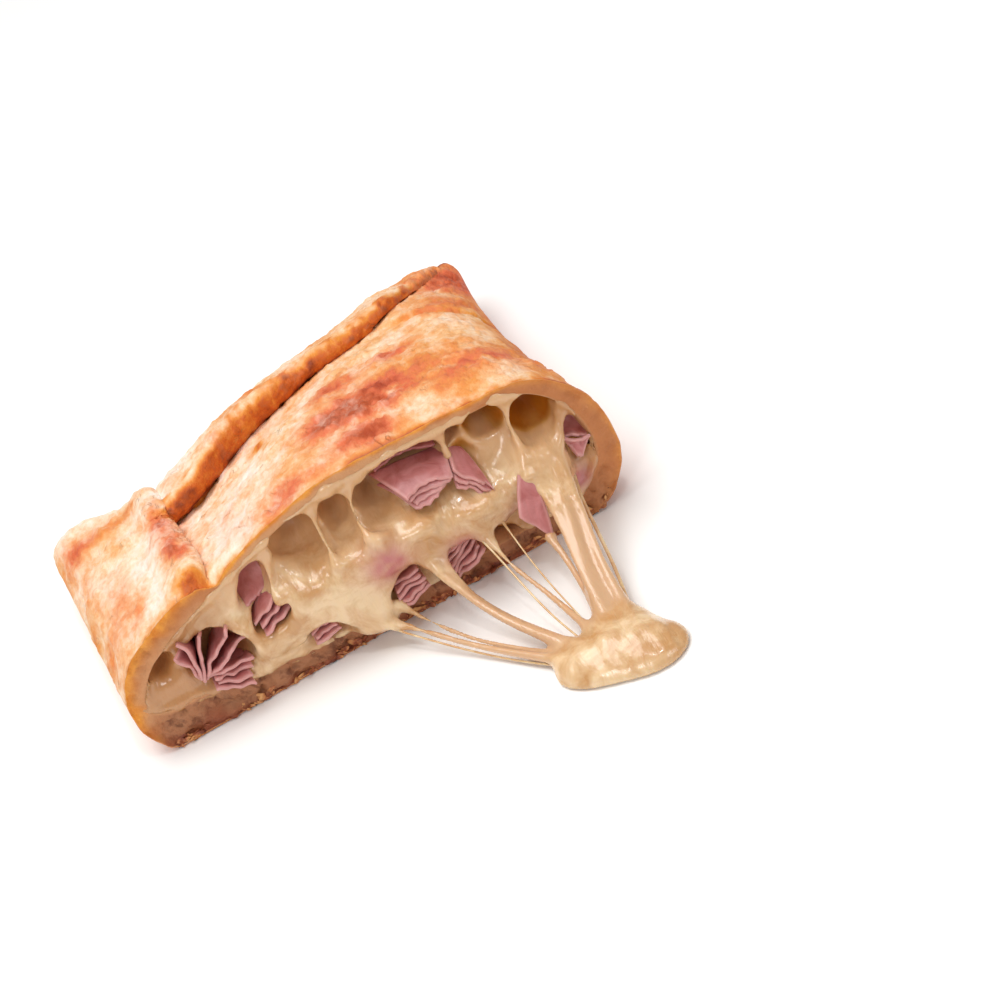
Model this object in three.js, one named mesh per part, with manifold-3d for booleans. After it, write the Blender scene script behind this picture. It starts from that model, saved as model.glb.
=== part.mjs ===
// Half of a baked empanada filled with ham and melted cheese, cut across the middle.
// One sheet of dough wraps the filling: it has a seamless round edge on the right, a side hem folded
// over at the back and a long flap folded over on the left. The cut faces -Y and the base is flat on z = 0.
// Strings of cheese hang from the cut and end in a little cheese that ran out in front of it.
// Units are millimetres, +Z is up. Design x runs from the left end, y from the cut and z from the base.
import * as THREE from "three";
import { mergeVertices } from "three/addons/utils/BufferGeometryUtils.js";
import Module from "manifold-3d";

const wasm = await Module();
wasm.setup();

// Driving dimensions of the half
const cutLength = 102;
const domeHeight = 36;
const leftDepth = 69;
const apexDepth = 95;
const earReach = 6;
const apexInset = 4;
const backSag = 16;
const backSagAt = 0.28;
const rightWaist = 4.4;
const backEdgeHeight = { ear: 8.5, along: 11.5 };
const cornerPull = 3;
const cornerReach = 6;
const baseCentre = new THREE.Vector3(cutLength / 2, 30, 0);

// Dome over the filling: where it crests, its share of the height at the left end, how round it climbs there,
// how much it drops to the right, and how late it falls to the back on each side
const dome = { crestAt: 52, leftShare: 0.42, climb: 1.5, rightDrop: 0.04, fallLeft: 0.9, fallRight: 1.65 };

// Heights of the line where the upper and the lower side of the dough meet, at the four corners
const rim = { cutLeft: 10.5, cutRight: 15.5, ear: 9, apex: 11.5 };

// Dough thicknesses round the filling, which change over a stretch near the left end
const roofDough = { left: 1.4, right: 2.3, from: 0.1, to: 0.35 };
const floorDough = { left: 8.2, right: 4.9, from: 0.08, to: 0.36 };
const sideDough = { left: 3.6, right: 4.4 };

// Side hem along the back: its start from the cut to the back and its thickness, at places along it
const hem = {
  at: [0.2, 0.3, 0.42, 0.55, 0.68, 0.8, 0.9, 1],
  start: [0.6, 0.66, 0.73, 0.75, 0.73, 0.73, 0.82, 0.955],
  thickness: [5.8, 7, 8.2, 6.6, 5.2, 4.4, 3, 2],
};
const hemTuck = { hidden: 0.17, clear: 0.3 };

// Long flap folded over at the left end, and the round edge of both folds
const flapThickness = { front: 4, back: 5.6 };
const flapWidth = 25.7;
const flapThinning = { from: 0.94, share: 0.35 };
const lipRadius = 4.2;
const fillingDepth = 0.7;

// Clearance between touching pieces
const gap = 0.3;

const materials = {
  crust: { color: 0xe9bd8c, roughness: 0.72, metalness: 0 },
  cheese: { color: 0xf0dca6, roughness: 0.28, metalness: 0 },
  ham: { color: 0xc98793, roughness: 0.42, metalness: 0 },
};

// Plain helpers
const lerp = THREE.MathUtils.lerp;
const clamp01 = (t) => THREE.MathUtils.clamp(t, 0, 1);
const smooth = (a, b, t) => THREE.MathUtils.smoothstep(t, a, b);
const quarterRound = (t) => Math.sqrt(1 - (1 - clamp01(t)) ** 2);

function toSolid(geometry) {
  const bare = geometry.clone();
  bare.deleteAttribute("normal");
  bare.deleteAttribute("uv");
  const merged = mergeVertices(bare, 1e-3);
  const faces = [];
  for (let i = 0; i < merged.index.count; i += 3) {
    const [a, b, c] = merged.index.array.slice(i, i + 3);
    if (a !== b && b !== c && c !== a) faces.push(a, b, c);
  }
  return new wasm.Manifold(
    new wasm.Mesh({
      numProp: 3,
      vertProperties: new Float32Array(merged.attributes.position.array),
      triVerts: new Uint32Array(faces),
    }),
  );
}

function toGeometry(solid) {
  const mesh = solid.getMesh();
  const geometry = new THREE.BufferGeometry();
  geometry.setAttribute("position", new THREE.BufferAttribute(mesh.vertProperties, 3));
  geometry.setIndex(new THREE.BufferAttribute(mesh.triVerts, 1));
  geometry.computeVertexNormals();
  return geometry;
}

function largestBody(solid) {
  return solid.decompose().sort((a, b) => b.volume() - a.volume())[0];
}

// Plan of the half: u runs from the left end to the seamless edge, v from the cut to the back hem
function planPoint(u, v) {
  const front = new THREE.Vector2(cutLength * u, 0);
  const fromLeft = Math.max(0, u) / backSagAt;
  const sag = smooth(-0.1, 0.25, u) * (fromLeft * Math.exp(1 - fromLeft)) ** 1.6;
  const back = new THREE.Vector2(
    lerp(-earReach, cutLength - apexInset, u),
    lerp(leftDepth, apexDepth, u) - backSag * sag,
  );
  const point = front.lerp(back, v);
  const within = clamp01(v);
  point.x -= rightWaist * u ** 3 * 4 * within * (1 - within);
  const fromBack = apexDepth * (1 - v);
  const pullAt = (fromSide) => cornerPull * Math.exp(-(fromSide ** 2 + fromBack ** 2) / cornerReach ** 2);
  const ear = pullAt(cutLength * u);
  const apex = pullAt(cutLength * (1 - u));
  return point.add(new THREE.Vector2(ear - apex, -ear - apex));
}

// Height of the dough over the filling, before any fold lies on it
function domeTop(u, v) {
  const climbed = 1 - (1 - clamp01((cutLength * u) / dome.crestAt)) ** dome.climb;
  const drop = dome.rightDrop * smooth(0.55, 0.95, u);
  const front = domeHeight * lerp(dome.leftShare, 1, climbed) * (1 - drop);
  const fall = lerp(dome.fallLeft, dome.fallRight, smooth(0.15, 0.65, u));
  const edge = lerp(backEdgeHeight.ear, backEdgeHeight.along, smooth(0, 0.25, u));
  return lerp(front, edge, clamp01(v) ** fall);
}

// A dough thickness that changes from the left end to the right
function doughAt(u, { left, right, from, to }) {
  return lerp(left, right, smooth(from, to, u));
}

// A smooth curve through the values given at places along the hem
function alongHem(values) {
  const curve = new THREE.CubicInterpolant(hem.at, values, 1, new Float32Array(1));
  return (u) => curve.evaluate(THREE.MathUtils.clamp(u, hem.at[0], hem.at.at(-1)))[0];
}
const hemStart = alongHem(hem.start);
const hemThickness = alongHem(hem.thickness);

// Side hem along the back, pressed flat at the apex and tucked under the flap on the left
function hemLift(u, v) {
  const across = (v - hemStart(u)) * lerp(leftDepth, apexDepth, u);
  const along = smooth(hemTuck.hidden, hemTuck.clear, u);
  return hemThickness(u) * along * quarterRound(across / lipRadius);
}

// Long flap along the left end, pressed thin at its back edge
function flapLift(u, v) {
  const across = flapWidth - cutLength * u;
  const along = 1 - flapThinning.share * smooth(flapThinning.from, 1, v);
  return lerp(flapThickness.front, flapThickness.back, clamp01(v)) * along * quarterRound(across / lipRadius);
}

function rimHeight(u, v) {
  return lerp(lerp(rim.cutLeft, rim.cutRight, u), lerp(rim.ear, rim.apex, u), smooth(0, 1, v));
}

// A closed pillow between a roof and a floor over a patch of the plan, flat at the cut. Its other three sides
// are rounded by a radius above the rim and one below it. Each of vs gives v for a u.
function pillow({ us, vs, roof, floor, round }) {
  const columns = us.length;
  const rows = vs.length;
  const first = us[0];
  const last = us[columns - 1];
  const positions = [];
  const topIndex = [];
  const bottomIndex = [];
  vs.forEach((row, j) => {
    us.forEach((u, i) => {
      const v = row(u);
      const p = planPoint(u, v);
      const left = p.distanceTo(planPoint(first, v));
      const right = p.distanceTo(planPoint(last, v));
      const back = p.distanceTo(planPoint(u, vs.at(-1)(u)));
      const rounded = (side) =>
        quarterRound(left / round.left[side]) *
        quarterRound(right / round.right[side]) *
        quarterRound(back / round.back[side]);
      const [high, low] = [rounded(0), rounded(1)];
      const seam = rimHeight(u, v);
      topIndex.push(positions.length / 3);
      positions.push(p.x, p.y, lerp(seam, roof(u, v), high));
      if (i === 0 || i === columns - 1 || j === rows - 1) {
        bottomIndex.push(topIndex.at(-1));
      } else {
        bottomIndex.push(positions.length / 3);
        positions.push(p.x, p.y, lerp(seam, floor(u), low));
      }
    });
  });
  const faces = [];
  const at = (index, i, j) => index[j * columns + i];
  for (let j = 0; j < rows - 1; j++) {
    for (let i = 0; i < columns - 1; i++) {
      // The diagonal leans away from the nearer back corner, so that no corner cell folds flat
      const leansLeft = i < columns / 2;
      for (const index of [topIndex, bottomIndex]) {
        const a = at(index, i, j);
        const b = at(index, i + 1, j);
        const c = at(index, i + 1, j + 1);
        const d = at(index, i, j + 1);
        const pair = leansLeft ? [[a, b, d], [b, c, d]] : [[a, b, c], [a, c, d]];
        pair.forEach((face) => faces.push(...(index === topIndex ? face : face.reverse())));
      }
    }
  }
  for (let i = 0; i < columns - 1; i++) {
    const [lowA, lowB] = [at(bottomIndex, i, 0), at(bottomIndex, i + 1, 0)];
    const [highA, highB] = [at(topIndex, i, 0), at(topIndex, i + 1, 0)];
    faces.push(lowA, lowB, highB, lowA, highB, highA);
  }
  const geometry = new THREE.BufferGeometry();
  geometry.setAttribute("position", new THREE.Float32BufferAttribute(positions, 3));
  geometry.setIndex(faces);
  return toSolid(geometry);
}

// Samples from a to b that crowd towards chosen ends
function samples(a, b, count, crowdStart, crowdEnd) {
  return Array.from({ length: count + 1 }, (_, k) => {
    let t = k / count;
    if (crowdStart && crowdEnd) t = (1 - Math.cos(Math.PI * t)) / 2;
    else if (crowdStart) t = 1 - Math.cos((Math.PI * t) / 2);
    else if (crowdEnd) t = Math.sin((Math.PI * t) / 2);
    return lerp(a, b, t);
  });
}

function crustSolid() {
  const flapEdge = flapWidth / cutLength;
  const lip = lipRadius / cutLength;
  const us = [
    ...samples(0, flapEdge - lip, 7, true, false),
    ...[0.6, 0.25, 0.06, 0].map((t) => flapEdge - lip * t),
    ...samples(flapEdge + 0.02, 1, 20, false, true),
  ];
  const crest = (u) => Math.min(hemStart(u) + lipRadius / apexDepth, 0.99);
  const vs = [
    ...samples(0, 1, 12, false, false).map((t) => (u) => t * (hemStart(u) - 0.01)),
    ...[0, 0.06, 0.25, 0.6].map((t) => (u) => lerp(hemStart(u), crest(u), t)),
    ...samples(0, 1, 6, false, true).map((t) => (u) => lerp(crest(u), 1, t)),
  ];
  const outside = pillow({
    us,
    vs,
    roof: (u, v) => domeTop(u, v) + hemLift(u, v) + flapLift(u, v),
    floor: () => 0,
    round: { left: [6, 4.5], right: [16, 11], back: [7, 10] },
  });
  return outside.subtract(fillingSpace(0, 0, [-0.04]));
}

// The space for the filling inside the dough, shrunk by a clearance. It begins at the front row, or in front of the cut.
function fillingSpace(clearance, front = 0, before = []) {
  const left = (sideDough.left + clearance) / cutLength;
  const right = (sideDough.right + clearance) / cutLength;
  return pillow({
    us: samples(left, 1 - right, 22, true, true),
    vs: [...before, ...samples(front, fillingDepth - clearance / apexDepth, 11, false, true)].map((v) => () => v),
    roof: (u, v) => Math.max(domeTop(u, v) - doughAt(u, roofDough), rimHeight(u, v) + 1) - clearance,
    floor: (u) => doughAt(u, floorDough) + clearance,
    round: { left: [6, 5], right: [13, 12], back: [9, 7] },
  });
}

function ellipsoid([x, y, z], [rx, ry, rz], lean = 0, detail = 14) {
  const ball = new THREE.SphereGeometry(1, detail, Math.round(detail * 0.7));
  ball.scale(rx, ry, rz);
  ball.rotateY(THREE.MathUtils.degToRad(lean));
  ball.translate(x, y, z);
  return toSolid(ball);
}

// A pulled cheese string: a round tube along a smooth curve, thick at its ends and thin between
function strand(points, rootRadius, waistRadius, tipRadius) {
  const sides = 8;
  const steps = 10;
  const curve = new THREE.CatmullRomCurve3(points.map((p) => new THREE.Vector3(...p)));
  const frames = curve.computeFrenetFrames(steps);
  const positions = [];
  for (let k = 0; k <= steps; k++) {
    const t = k / steps;
    const bow = Math.sin(Math.PI * t) ** 0.6;
    const radius = lerp(lerp(rootRadius, tipRadius, t), waistRadius, bow);
    const centre = curve.getPointAt(t);
    for (let s = 0; s < sides; s++) {
      const angle = (2 * Math.PI * s) / sides;
      const out = frames.normals[k].clone().multiplyScalar(Math.cos(angle) * radius);
      out.addScaledVector(frames.binormals[k], Math.sin(angle) * radius);
      positions.push(...centre.clone().add(out).toArray());
    }
  }
  const faces = [];
  for (let k = 0; k < steps; k++) {
    for (let s = 0; s < sides; s++) {
      const next = (s + 1) % sides;
      const [a, b] = [k * sides + s, k * sides + next];
      faces.push(a, b, b + sides, a, b + sides, a + sides);
    }
  }
  for (let s = 1; s < sides - 1; s++) {
    const tip = steps * sides;
    faces.push(0, s + 1, s, tip, tip + s, tip + s + 1);
  }
  const geometry = new THREE.BufferGeometry();
  geometry.setAttribute("position", new THREE.Float32BufferAttribute(positions, 3));
  geometry.setIndex(faces);
  return toSolid(geometry);
}

// Cheese that ran out and set on the table: a low dome with a flat underside
function runOff([x, y], [rx, ry], height) {
  const profile = new THREE.SplineCurve([
    new THREE.Vector2(0, height),
    new THREE.Vector2(0.55, height * 0.86),
    new THREE.Vector2(0.92, height * 0.42),
    new THREE.Vector2(1, 0),
  ]).getPoints(6);
  const dome = new THREE.LatheGeometry([new THREE.Vector2(0, 0), ...profile.reverse()], 20);
  dome.rotateX(Math.PI / 2);
  dome.scale(rx, ry, 1);
  dome.translate(x, y, 0);
  return toSolid(dome);
}

// Bubble hollows in the cheese at the cut: centre and radii, with a lean in the plane of the cut
const bubbles = [
  { at: [11, 1, 16.2], radii: [3.6, 7, 5], lean: -8 },
  { at: [32, 1, 23.6], radii: [3, 8, 6], lean: 24 },
  { at: [41.5, 1, 26.8], radii: [5.4, 9, 5.6], lean: -10 },
  { at: [50.3, 1, 27.2], radii: [3.2, 8, 4.8], lean: -12 },
  { at: [58, 1, 26.6], radii: [3.6, 8, 4.2], lean: -20 },
  { at: [81, 1, 28.2], radii: [4.6, 8, 4.6], lean: -12 },
  { at: [89.6, 1, 26.2], radii: [4.4, 9, 5.2], lean: -8 },
];

// Lobes of melted cheese that swell out of the cut
const lobes = [
  { at: [27, 2, 14.6], radii: [9, 4, 6.5] },
  { at: [41, 1, 15.1], radii: [11, 6, 6.8] },
  { at: [57, 0, 17.6], radii: [12, 7, 6] },
  { at: [73, 0, 15.6], radii: [12, 7.5, 6.2] },
  { at: [86, 0, 17.1], radii: [8, 7.5, 7.5] },
  { at: [48, -4.2, 8.6], radii: [5.5, 3.8, 5.2] },
];

// Strings of cheese from the cut to what ran out in front: path points and the radii at root, waist and tip
const strands = [
  { path: [[49, -3, 7.6], [54, -8, 3.2], [62, -20, 1.8], [72, -34, 1.4]], radii: [2.6, 1.3, 1.6] },
  { path: [[61, -5, 14.6], [63, -10, 8.5], [68, -20, 4], [76, -36, 1.4]], radii: [3, 1.5, 2] },
  { path: [[72, -5, 12.6], [74, -11, 7.5], [77, -20, 4], [80, -36, 1.4]], radii: [2, 0.9, 1.4] },
  { path: [[84.5, -6, 9.5], [84.5, -14, 6.6], [83.5, -24, 4], [82.5, -39, 1.2]], radii: [3.4, 2.2, 2.4] },
  { path: [[87.6, -5, 16.5], [87, -13, 11], [86, -24, 6], [84, -40, 1.2]], radii: [3.8, 2.3, 2.6] },
  { path: [[91.8, -2, 11.8], [91.2, -9, 7.2], [90.2, -19, 4.2], [88, -36, 1.2]], radii: [1.5, 0.8, 1.2] },
];
const runOffAt = [82, -40];
const runOffRadii = [13, 9.5];
const runOffHeight = 4.2;

// Folded slices of ham: centre at the cut, size across, up and into the filling, leaves and lean
const hams = [
  { name: "ham_left_fan", at: [19, 0.5, 13.4], size: [9.6, 9.2, 8], leaves: 4, lean: -72, bend: 0.9 },
  { name: "ham_left_roll", at: [33, 3.5, 19.2], size: [8.5, 5, 9], leaves: 2, lean: 52, bend: 0.6 },
  { name: "ham_left_low", at: [38.4, 0.2, 8.6], size: [6, 3.4, 10], leaves: 2, lean: 0, bend: 0.3 },
  { name: "ham_middle_fold", at: [66, 0.2, 26.6], size: [14.6, 6.4, 13], leaves: 4, lean: -8, bend: 0.8 },
  { name: "ham_middle_side", at: [76.6, -1, 22.6], size: [8, 4, 12], leaves: 2, lean: -54, bend: 0.4 },
  { name: "ham_low_left", at: [55.8, -2.4, 9.2], size: [6.6, 4.2, 11], leaves: 3, lean: 6, bend: 0.4 },
  { name: "ham_low_middle", at: [67, -1.6, 9.2], size: [7.4, 4.6, 11], leaves: 3, lean: 26, bend: 0.4 },
  { name: "ham_in_strand", at: [82.2, -7.4, 14.4], size: [10.4, 3.2, 9], leaves: 2, lean: 72, bend: 0.5 },
  { name: "ham_right_end", at: [93.8, 0, 16.6], size: [6.4, 3.2, 6], leaves: 2, lean: -58, bend: 0.3 },
];
const sliceThickness = 1.25;

// Outline of one slice folded to and fro, as leaves that lie on each other
function foldedOutline({ size: [length, height], leaves, bend }, extra) {
  const pitch = (height - sliceThickness) / (leaves - 1);
  const reach = (length - pitch - sliceThickness) / 2;
  const centreLine = [];
  for (let leaf = 0; leaf < leaves; leaf++) {
    const way = leaf % 2 ? -1 : 1;
    const level = leaf * pitch - (height - sliceThickness) / 2;
    for (let k = 0; k <= 4; k++) {
      const t = k / 4;
      centreLine.push(new THREE.Vector2(way * lerp(-reach, reach, t), level + bend * Math.sin(Math.PI * t)));
    }
    if (leaf === leaves - 1) break;
    for (let k = 1; k <= 3; k++) {
      const turn = (Math.PI * k) / 4;
      const out = way * (reach + (Math.sin(turn) * pitch) / 2);
      centreLine.push(new THREE.Vector2(out, level + (pitch * (1 - Math.cos(turn))) / 2));
    }
  }
  const half = sliceThickness / 2 + extra;
  const side = (sign) =>
    centreLine.map((p, k) => {
      const before = centreLine[Math.max(0, k - 1)];
      const after = centreLine[Math.min(centreLine.length - 1, k + 1)];
      const along = after.clone().sub(before).normalize();
      return p.clone().add(new THREE.Vector2(-along.y, along.x).multiplyScalar(sign * half));
    });
  return [...side(1), ...side(-1).reverse()];
}

function placedInCut(geometry, { at: [x, y, z], lean }) {
  geometry.rotateX(Math.PI / 2);
  geometry.rotateY(THREE.MathUtils.degToRad(-lean));
  geometry.translate(x, y, z);
  return geometry;
}

function hamGeometry(ham) {
  const depth = ham.size[2];
  const geometry = new THREE.ExtrudeGeometry(new THREE.Shape(foldedOutline(ham, 0)), {
    depth,
    bevelEnabled: false,
  });
  geometry.translate(0, 0, -depth);
  return placedInCut(geometry, ham);
}

// Room in the cheese around a folded slice: a rounded box that clears it on every side
function hamPocket(ham) {
  const [length, height, depth] = ham.size;
  const w = length / 2 + gap;
  const h = height / 2 + ham.bend / 2 + gap;
  const corner = Math.min(w, h) * 0.5;
  const outline = new THREE.Shape();
  outline.absarc(w - corner, h - corner, corner, 0, Math.PI / 2);
  outline.absarc(-w + corner, h - corner, corner, Math.PI / 2, Math.PI);
  outline.absarc(-w + corner, -h + corner, corner, Math.PI, 1.5 * Math.PI);
  outline.absarc(w - corner, -h + corner, corner, 1.5 * Math.PI, 2 * Math.PI);
  const mouth = 6;
  const geometry = new THREE.ExtrudeGeometry(outline, {
    depth: depth + mouth + gap,
    bevelEnabled: false,
    curveSegments: 3,
  });
  geometry.translate(0, ham.bend / 2, -depth - gap);
  return toSolid(placedInCut(geometry, ham));
}

function cheeseSolid() {
  let cheese = fillingSpace(gap, 0.02);
  lobes.forEach(({ at, radii }) => (cheese = cheese.add(ellipsoid(at, radii))));
  bubbles.forEach(({ at, radii, lean }) => (cheese = cheese.subtract(ellipsoid(at, radii, lean))));
  strands.forEach(({ path, radii }) => (cheese = cheese.add(strand(path, ...radii))));
  cheese = cheese.add(runOff(runOffAt, runOffRadii, runOffHeight));
  const underTable = new THREE.BoxGeometry(400, 400, 20).translate(0, 0, -10);
  cheese = cheese.subtract(toSolid(underTable));
  hams.forEach((ham) => (cheese = cheese.subtract(hamPocket(ham))));
  return largestBody(cheese);
}

function piece(name, geometry, look) {
  const mesh = new THREE.Mesh(geometry, new THREE.MeshStandardMaterial(look));
  mesh.name = name;
  return mesh;
}

const empanadaHalf = new THREE.Group();
empanadaHalf.position.copy(baseCentre).negate();
const crust = crustSolid();
empanadaHalf.add(piece("crust", toGeometry(crust), materials.crust));
empanadaHalf.add(piece("cheese", toGeometry(cheeseSolid()), materials.cheese));
hams.forEach((ham) => empanadaHalf.add(piece(ham.name, hamGeometry(ham), materials.ham)));

export default empanadaHalf;
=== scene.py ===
# Half of a baked empanada with ham and melted cheese, dressed over its solids
import bpy
import numpy as np
from mathutils import Matrix, Vector, noise


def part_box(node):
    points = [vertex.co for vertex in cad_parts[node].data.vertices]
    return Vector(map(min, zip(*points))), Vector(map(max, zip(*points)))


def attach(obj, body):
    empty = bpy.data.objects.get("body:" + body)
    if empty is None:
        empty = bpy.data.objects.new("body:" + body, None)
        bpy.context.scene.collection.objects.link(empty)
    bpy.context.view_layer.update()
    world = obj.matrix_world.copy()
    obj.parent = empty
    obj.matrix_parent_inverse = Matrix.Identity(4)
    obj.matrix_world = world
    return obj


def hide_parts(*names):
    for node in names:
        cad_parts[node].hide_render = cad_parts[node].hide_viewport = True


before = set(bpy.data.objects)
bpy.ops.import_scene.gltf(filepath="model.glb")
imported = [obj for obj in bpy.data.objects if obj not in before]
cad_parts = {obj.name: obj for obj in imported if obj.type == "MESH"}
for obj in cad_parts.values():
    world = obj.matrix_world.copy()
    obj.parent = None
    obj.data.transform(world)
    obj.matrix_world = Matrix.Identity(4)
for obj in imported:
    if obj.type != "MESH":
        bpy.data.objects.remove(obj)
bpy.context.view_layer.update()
scene = bpy.context.scene
scene.view_settings.view_transform = "Standard"
print("solids loaded")

# Shape of the dough in mm: x along the cut from the left end, y from the cut, z from the base.
# Each round has its radii at the left, the right and the back.
dough = {
    "cutLength": 102, "domeHeight": 36, "leftDepth": 69, "apexDepth": 95, "earReach": 6, "apexInset": 4,
    "backSag": 16, "backSagAt": 0.28, "rightWaist": 4.4, "backEdge": (8.5, 11.5),
    "cornerPull": 3, "cornerReach": 6, "crestAt": 52, "leftShare": 0.42, "climb": 1.5, "rightDrop": 0.04,
    "fall": (0.9, 1.65), "rimAtCut": (10.5, 15.5), "rimAtBack": (9, 11.5),
    "roof": (0.9, 2.2), "floor": (8.2, 4.9), "side": (3.4, 4.2), "fillingDepth": 0.7,
    "topRound": (6, 16, 7), "baseRound": (4.5, 11, 10), "roofRound": (6, 13, 9), "floorRound": (5, 12, 7),
    "hemAt": (0.2, 0.3, 0.42, 0.55, 0.68, 0.8, 0.9, 1),
    "hemStart": (0.6, 0.66, 0.73, 0.75, 0.73, 0.73, 0.82, 0.955),
    "hemThickness": (5.8, 7, 8.2, 6.6, 5.2, 4.4, 3, 2), "hemTuck": (0.17, 0.3),
    "flapThickness": (4, 5.6), "flapWidth": 25.7, "flapThinFrom": 0.94, "flapThinning": 0.35,
    "lip": 4.2, "lipUnder": 65, "runUnder": 7,
    "creaseFrom": (80, 57), "creaseSlope": 0.7, "creaseStart": (72, 80), "creaseEnd": (94, 98),
}
cutLength = dough["cutLength"]
lip = dough["lip"]
mmPerMetre = 1000
crustLow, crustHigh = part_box("crust")
crustCorner = np.array((crustHigh.x, crustLow.y, crustLow.z)) * mmPerMetre
modelShift = crustCorner - np.array((cutLength, 0, 0))
noiseStart = np.array((13.7, 5.3, 29.1))


def lerp(a, b, t):
    return a + (b - a) * t


def smooth(a, b, t):
    t = np.clip((t - a) / (b - a), 0, 1)
    return t * t * (3 - 2 * t)


def quarterRound(t):
    return np.sqrt(np.maximum(0, 1 - (1 - np.clip(t, 0, 1)) ** 2))


def grain(points, size, octaves, seed):
    # fractal noise whose widest waves are this many mm long, about -1 to 1
    shifted = points.reshape(-1, 3) / size + noiseStart * (seed + 1)
    values = [noise.fractal(p, 1.0, 2.0, octaves) for p in shifted.tolist()]
    return np.array(values).reshape(points.shape[:-1])


def linear(colour):
    parts = [int(colour[k:k + 2], 16) / 255 for k in (1, 3, 5)]
    return [c / 12.92 if c <= 0.04045 else ((c + 0.055) / 1.055) ** 2.4 for c in parts] + [1]


def linked(name, data):
    item = bpy.data.objects.new(name, data)
    scene.collection.objects.link(item)
    return item


def newMesh(name, points, edges, faces, masks):
    mesh = bpy.data.meshes.new(name)
    mesh.from_pydata(((points + modelShift) / mmPerMetre).tolist(), edges, faces)
    for key, values in masks.items():
        mesh.attributes.new(key, "FLOAT", "POINT").data.foreach_set("value", values.astype(np.float32))
    return mesh


def declare(piece, node):
    piece.data.shade_smooth()
    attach(piece, "root")
    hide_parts(node)
    print(piece.name, len(piece.data.vertices), "points", len(piece.data.polygons), "faces")


def addPiece(name, node, points, faces, material, masks):
    mesh = newMesh(name, points, [], faces, masks)
    mesh.materials.append(material)
    declare(linked(name, mesh), node)


def addNode(tree, kind, inputs=None, **settings):
    # an input is a value, a colour as a hex word or another node's output
    node = tree.nodes.new(kind)
    for key, value in settings.items():
        setattr(node, key, value)
    for socket, value in (inputs or {}).items():
        if isinstance(value, bpy.types.NodeSocket):
            tree.links.new(value, node.inputs[socket])
        else:
            node.inputs[socket].default_value = linear(value) if str(value).startswith("#") else value
    return node


def newMaterial(name, look):
    material = bpy.data.materials.new(name)
    material.use_nodes = True
    tree = material.node_tree
    tree.nodes.clear()
    shader = addNode(tree, "ShaderNodeBsdfPrincipled", look)
    addNode(tree, "ShaderNodeOutputMaterial", {"Surface": shader.outputs[0]})
    return material, tree, shader


def scatter(weight, *millimetres):
    radius = [reach / mmPerMetre for reach in millimetres]
    return {"Subsurface Weight": weight, "Subsurface Radius": radius, "Subsurface Scale": 1}


def placeIn(tree):
    return addNode(tree, "ShaderNodeTexCoord").outputs["Object"]


def attributeOf(tree, name):
    return addNode(tree, "ShaderNodeAttribute", attribute_name=name).outputs["Fac"]


def mixColours(factor, first, second):
    inputs = {0: factor, 6: first, 7: second}
    return addNode(factor.id_data, "ShaderNodeMix", inputs, data_type="RGBA").outputs[2]


def noiseOf(place, size, detail, twist=0):
    inputs = {"Vector": place, "Scale": mmPerMetre / size, "Detail": detail,
              "Roughness": 0.6, "Distortion": twist}
    return addNode(place.id_data, "ShaderNodeTexNoise", inputs).outputs[0]


def spanned(source, low, high, first, last):
    inputs = {0: source, 1: low, 2: high, 3: first, 4: last}
    return addNode(source.id_data, "ShaderNodeMapRange", inputs).outputs[0]


def joined(operation, *sources):
    inputs = dict(enumerate(sources))
    return addNode(sources[0].id_data, "ShaderNodeMath", inputs, operation=operation).outputs[0]


def stretched(place, scale):
    return addNode(place.id_data, "ShaderNodeMapping", {"Vector": place, "Scale": scale}).outputs[0]


def rampOf(source, *stops):
    ramp = addNode(source.id_data, "ShaderNodeValToRGB", {0: source})
    for stop in stops[1:-1]:
        ramp.color_ramp.elements.new(stop[0])
    for element, (stop, colour) in zip(ramp.color_ramp.elements, stops):
        element.position = stop
        element.color = linear(colour)
    return ramp.outputs[0]


def paint(shader, colour, height, strength, millimetres):
    # the shader's colour, and the bump that this height gives
    tree = shader.id_data
    inputs = {"Strength": strength, "Distance": millimetres / mmPerMetre, "Height": height}
    bump = addNode(tree, "ShaderNodeBump", inputs)
    tree.links.new(colour, shader.inputs["Base Color"])
    tree.links.new(bump.outputs[0], shader.inputs["Normal"])


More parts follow.
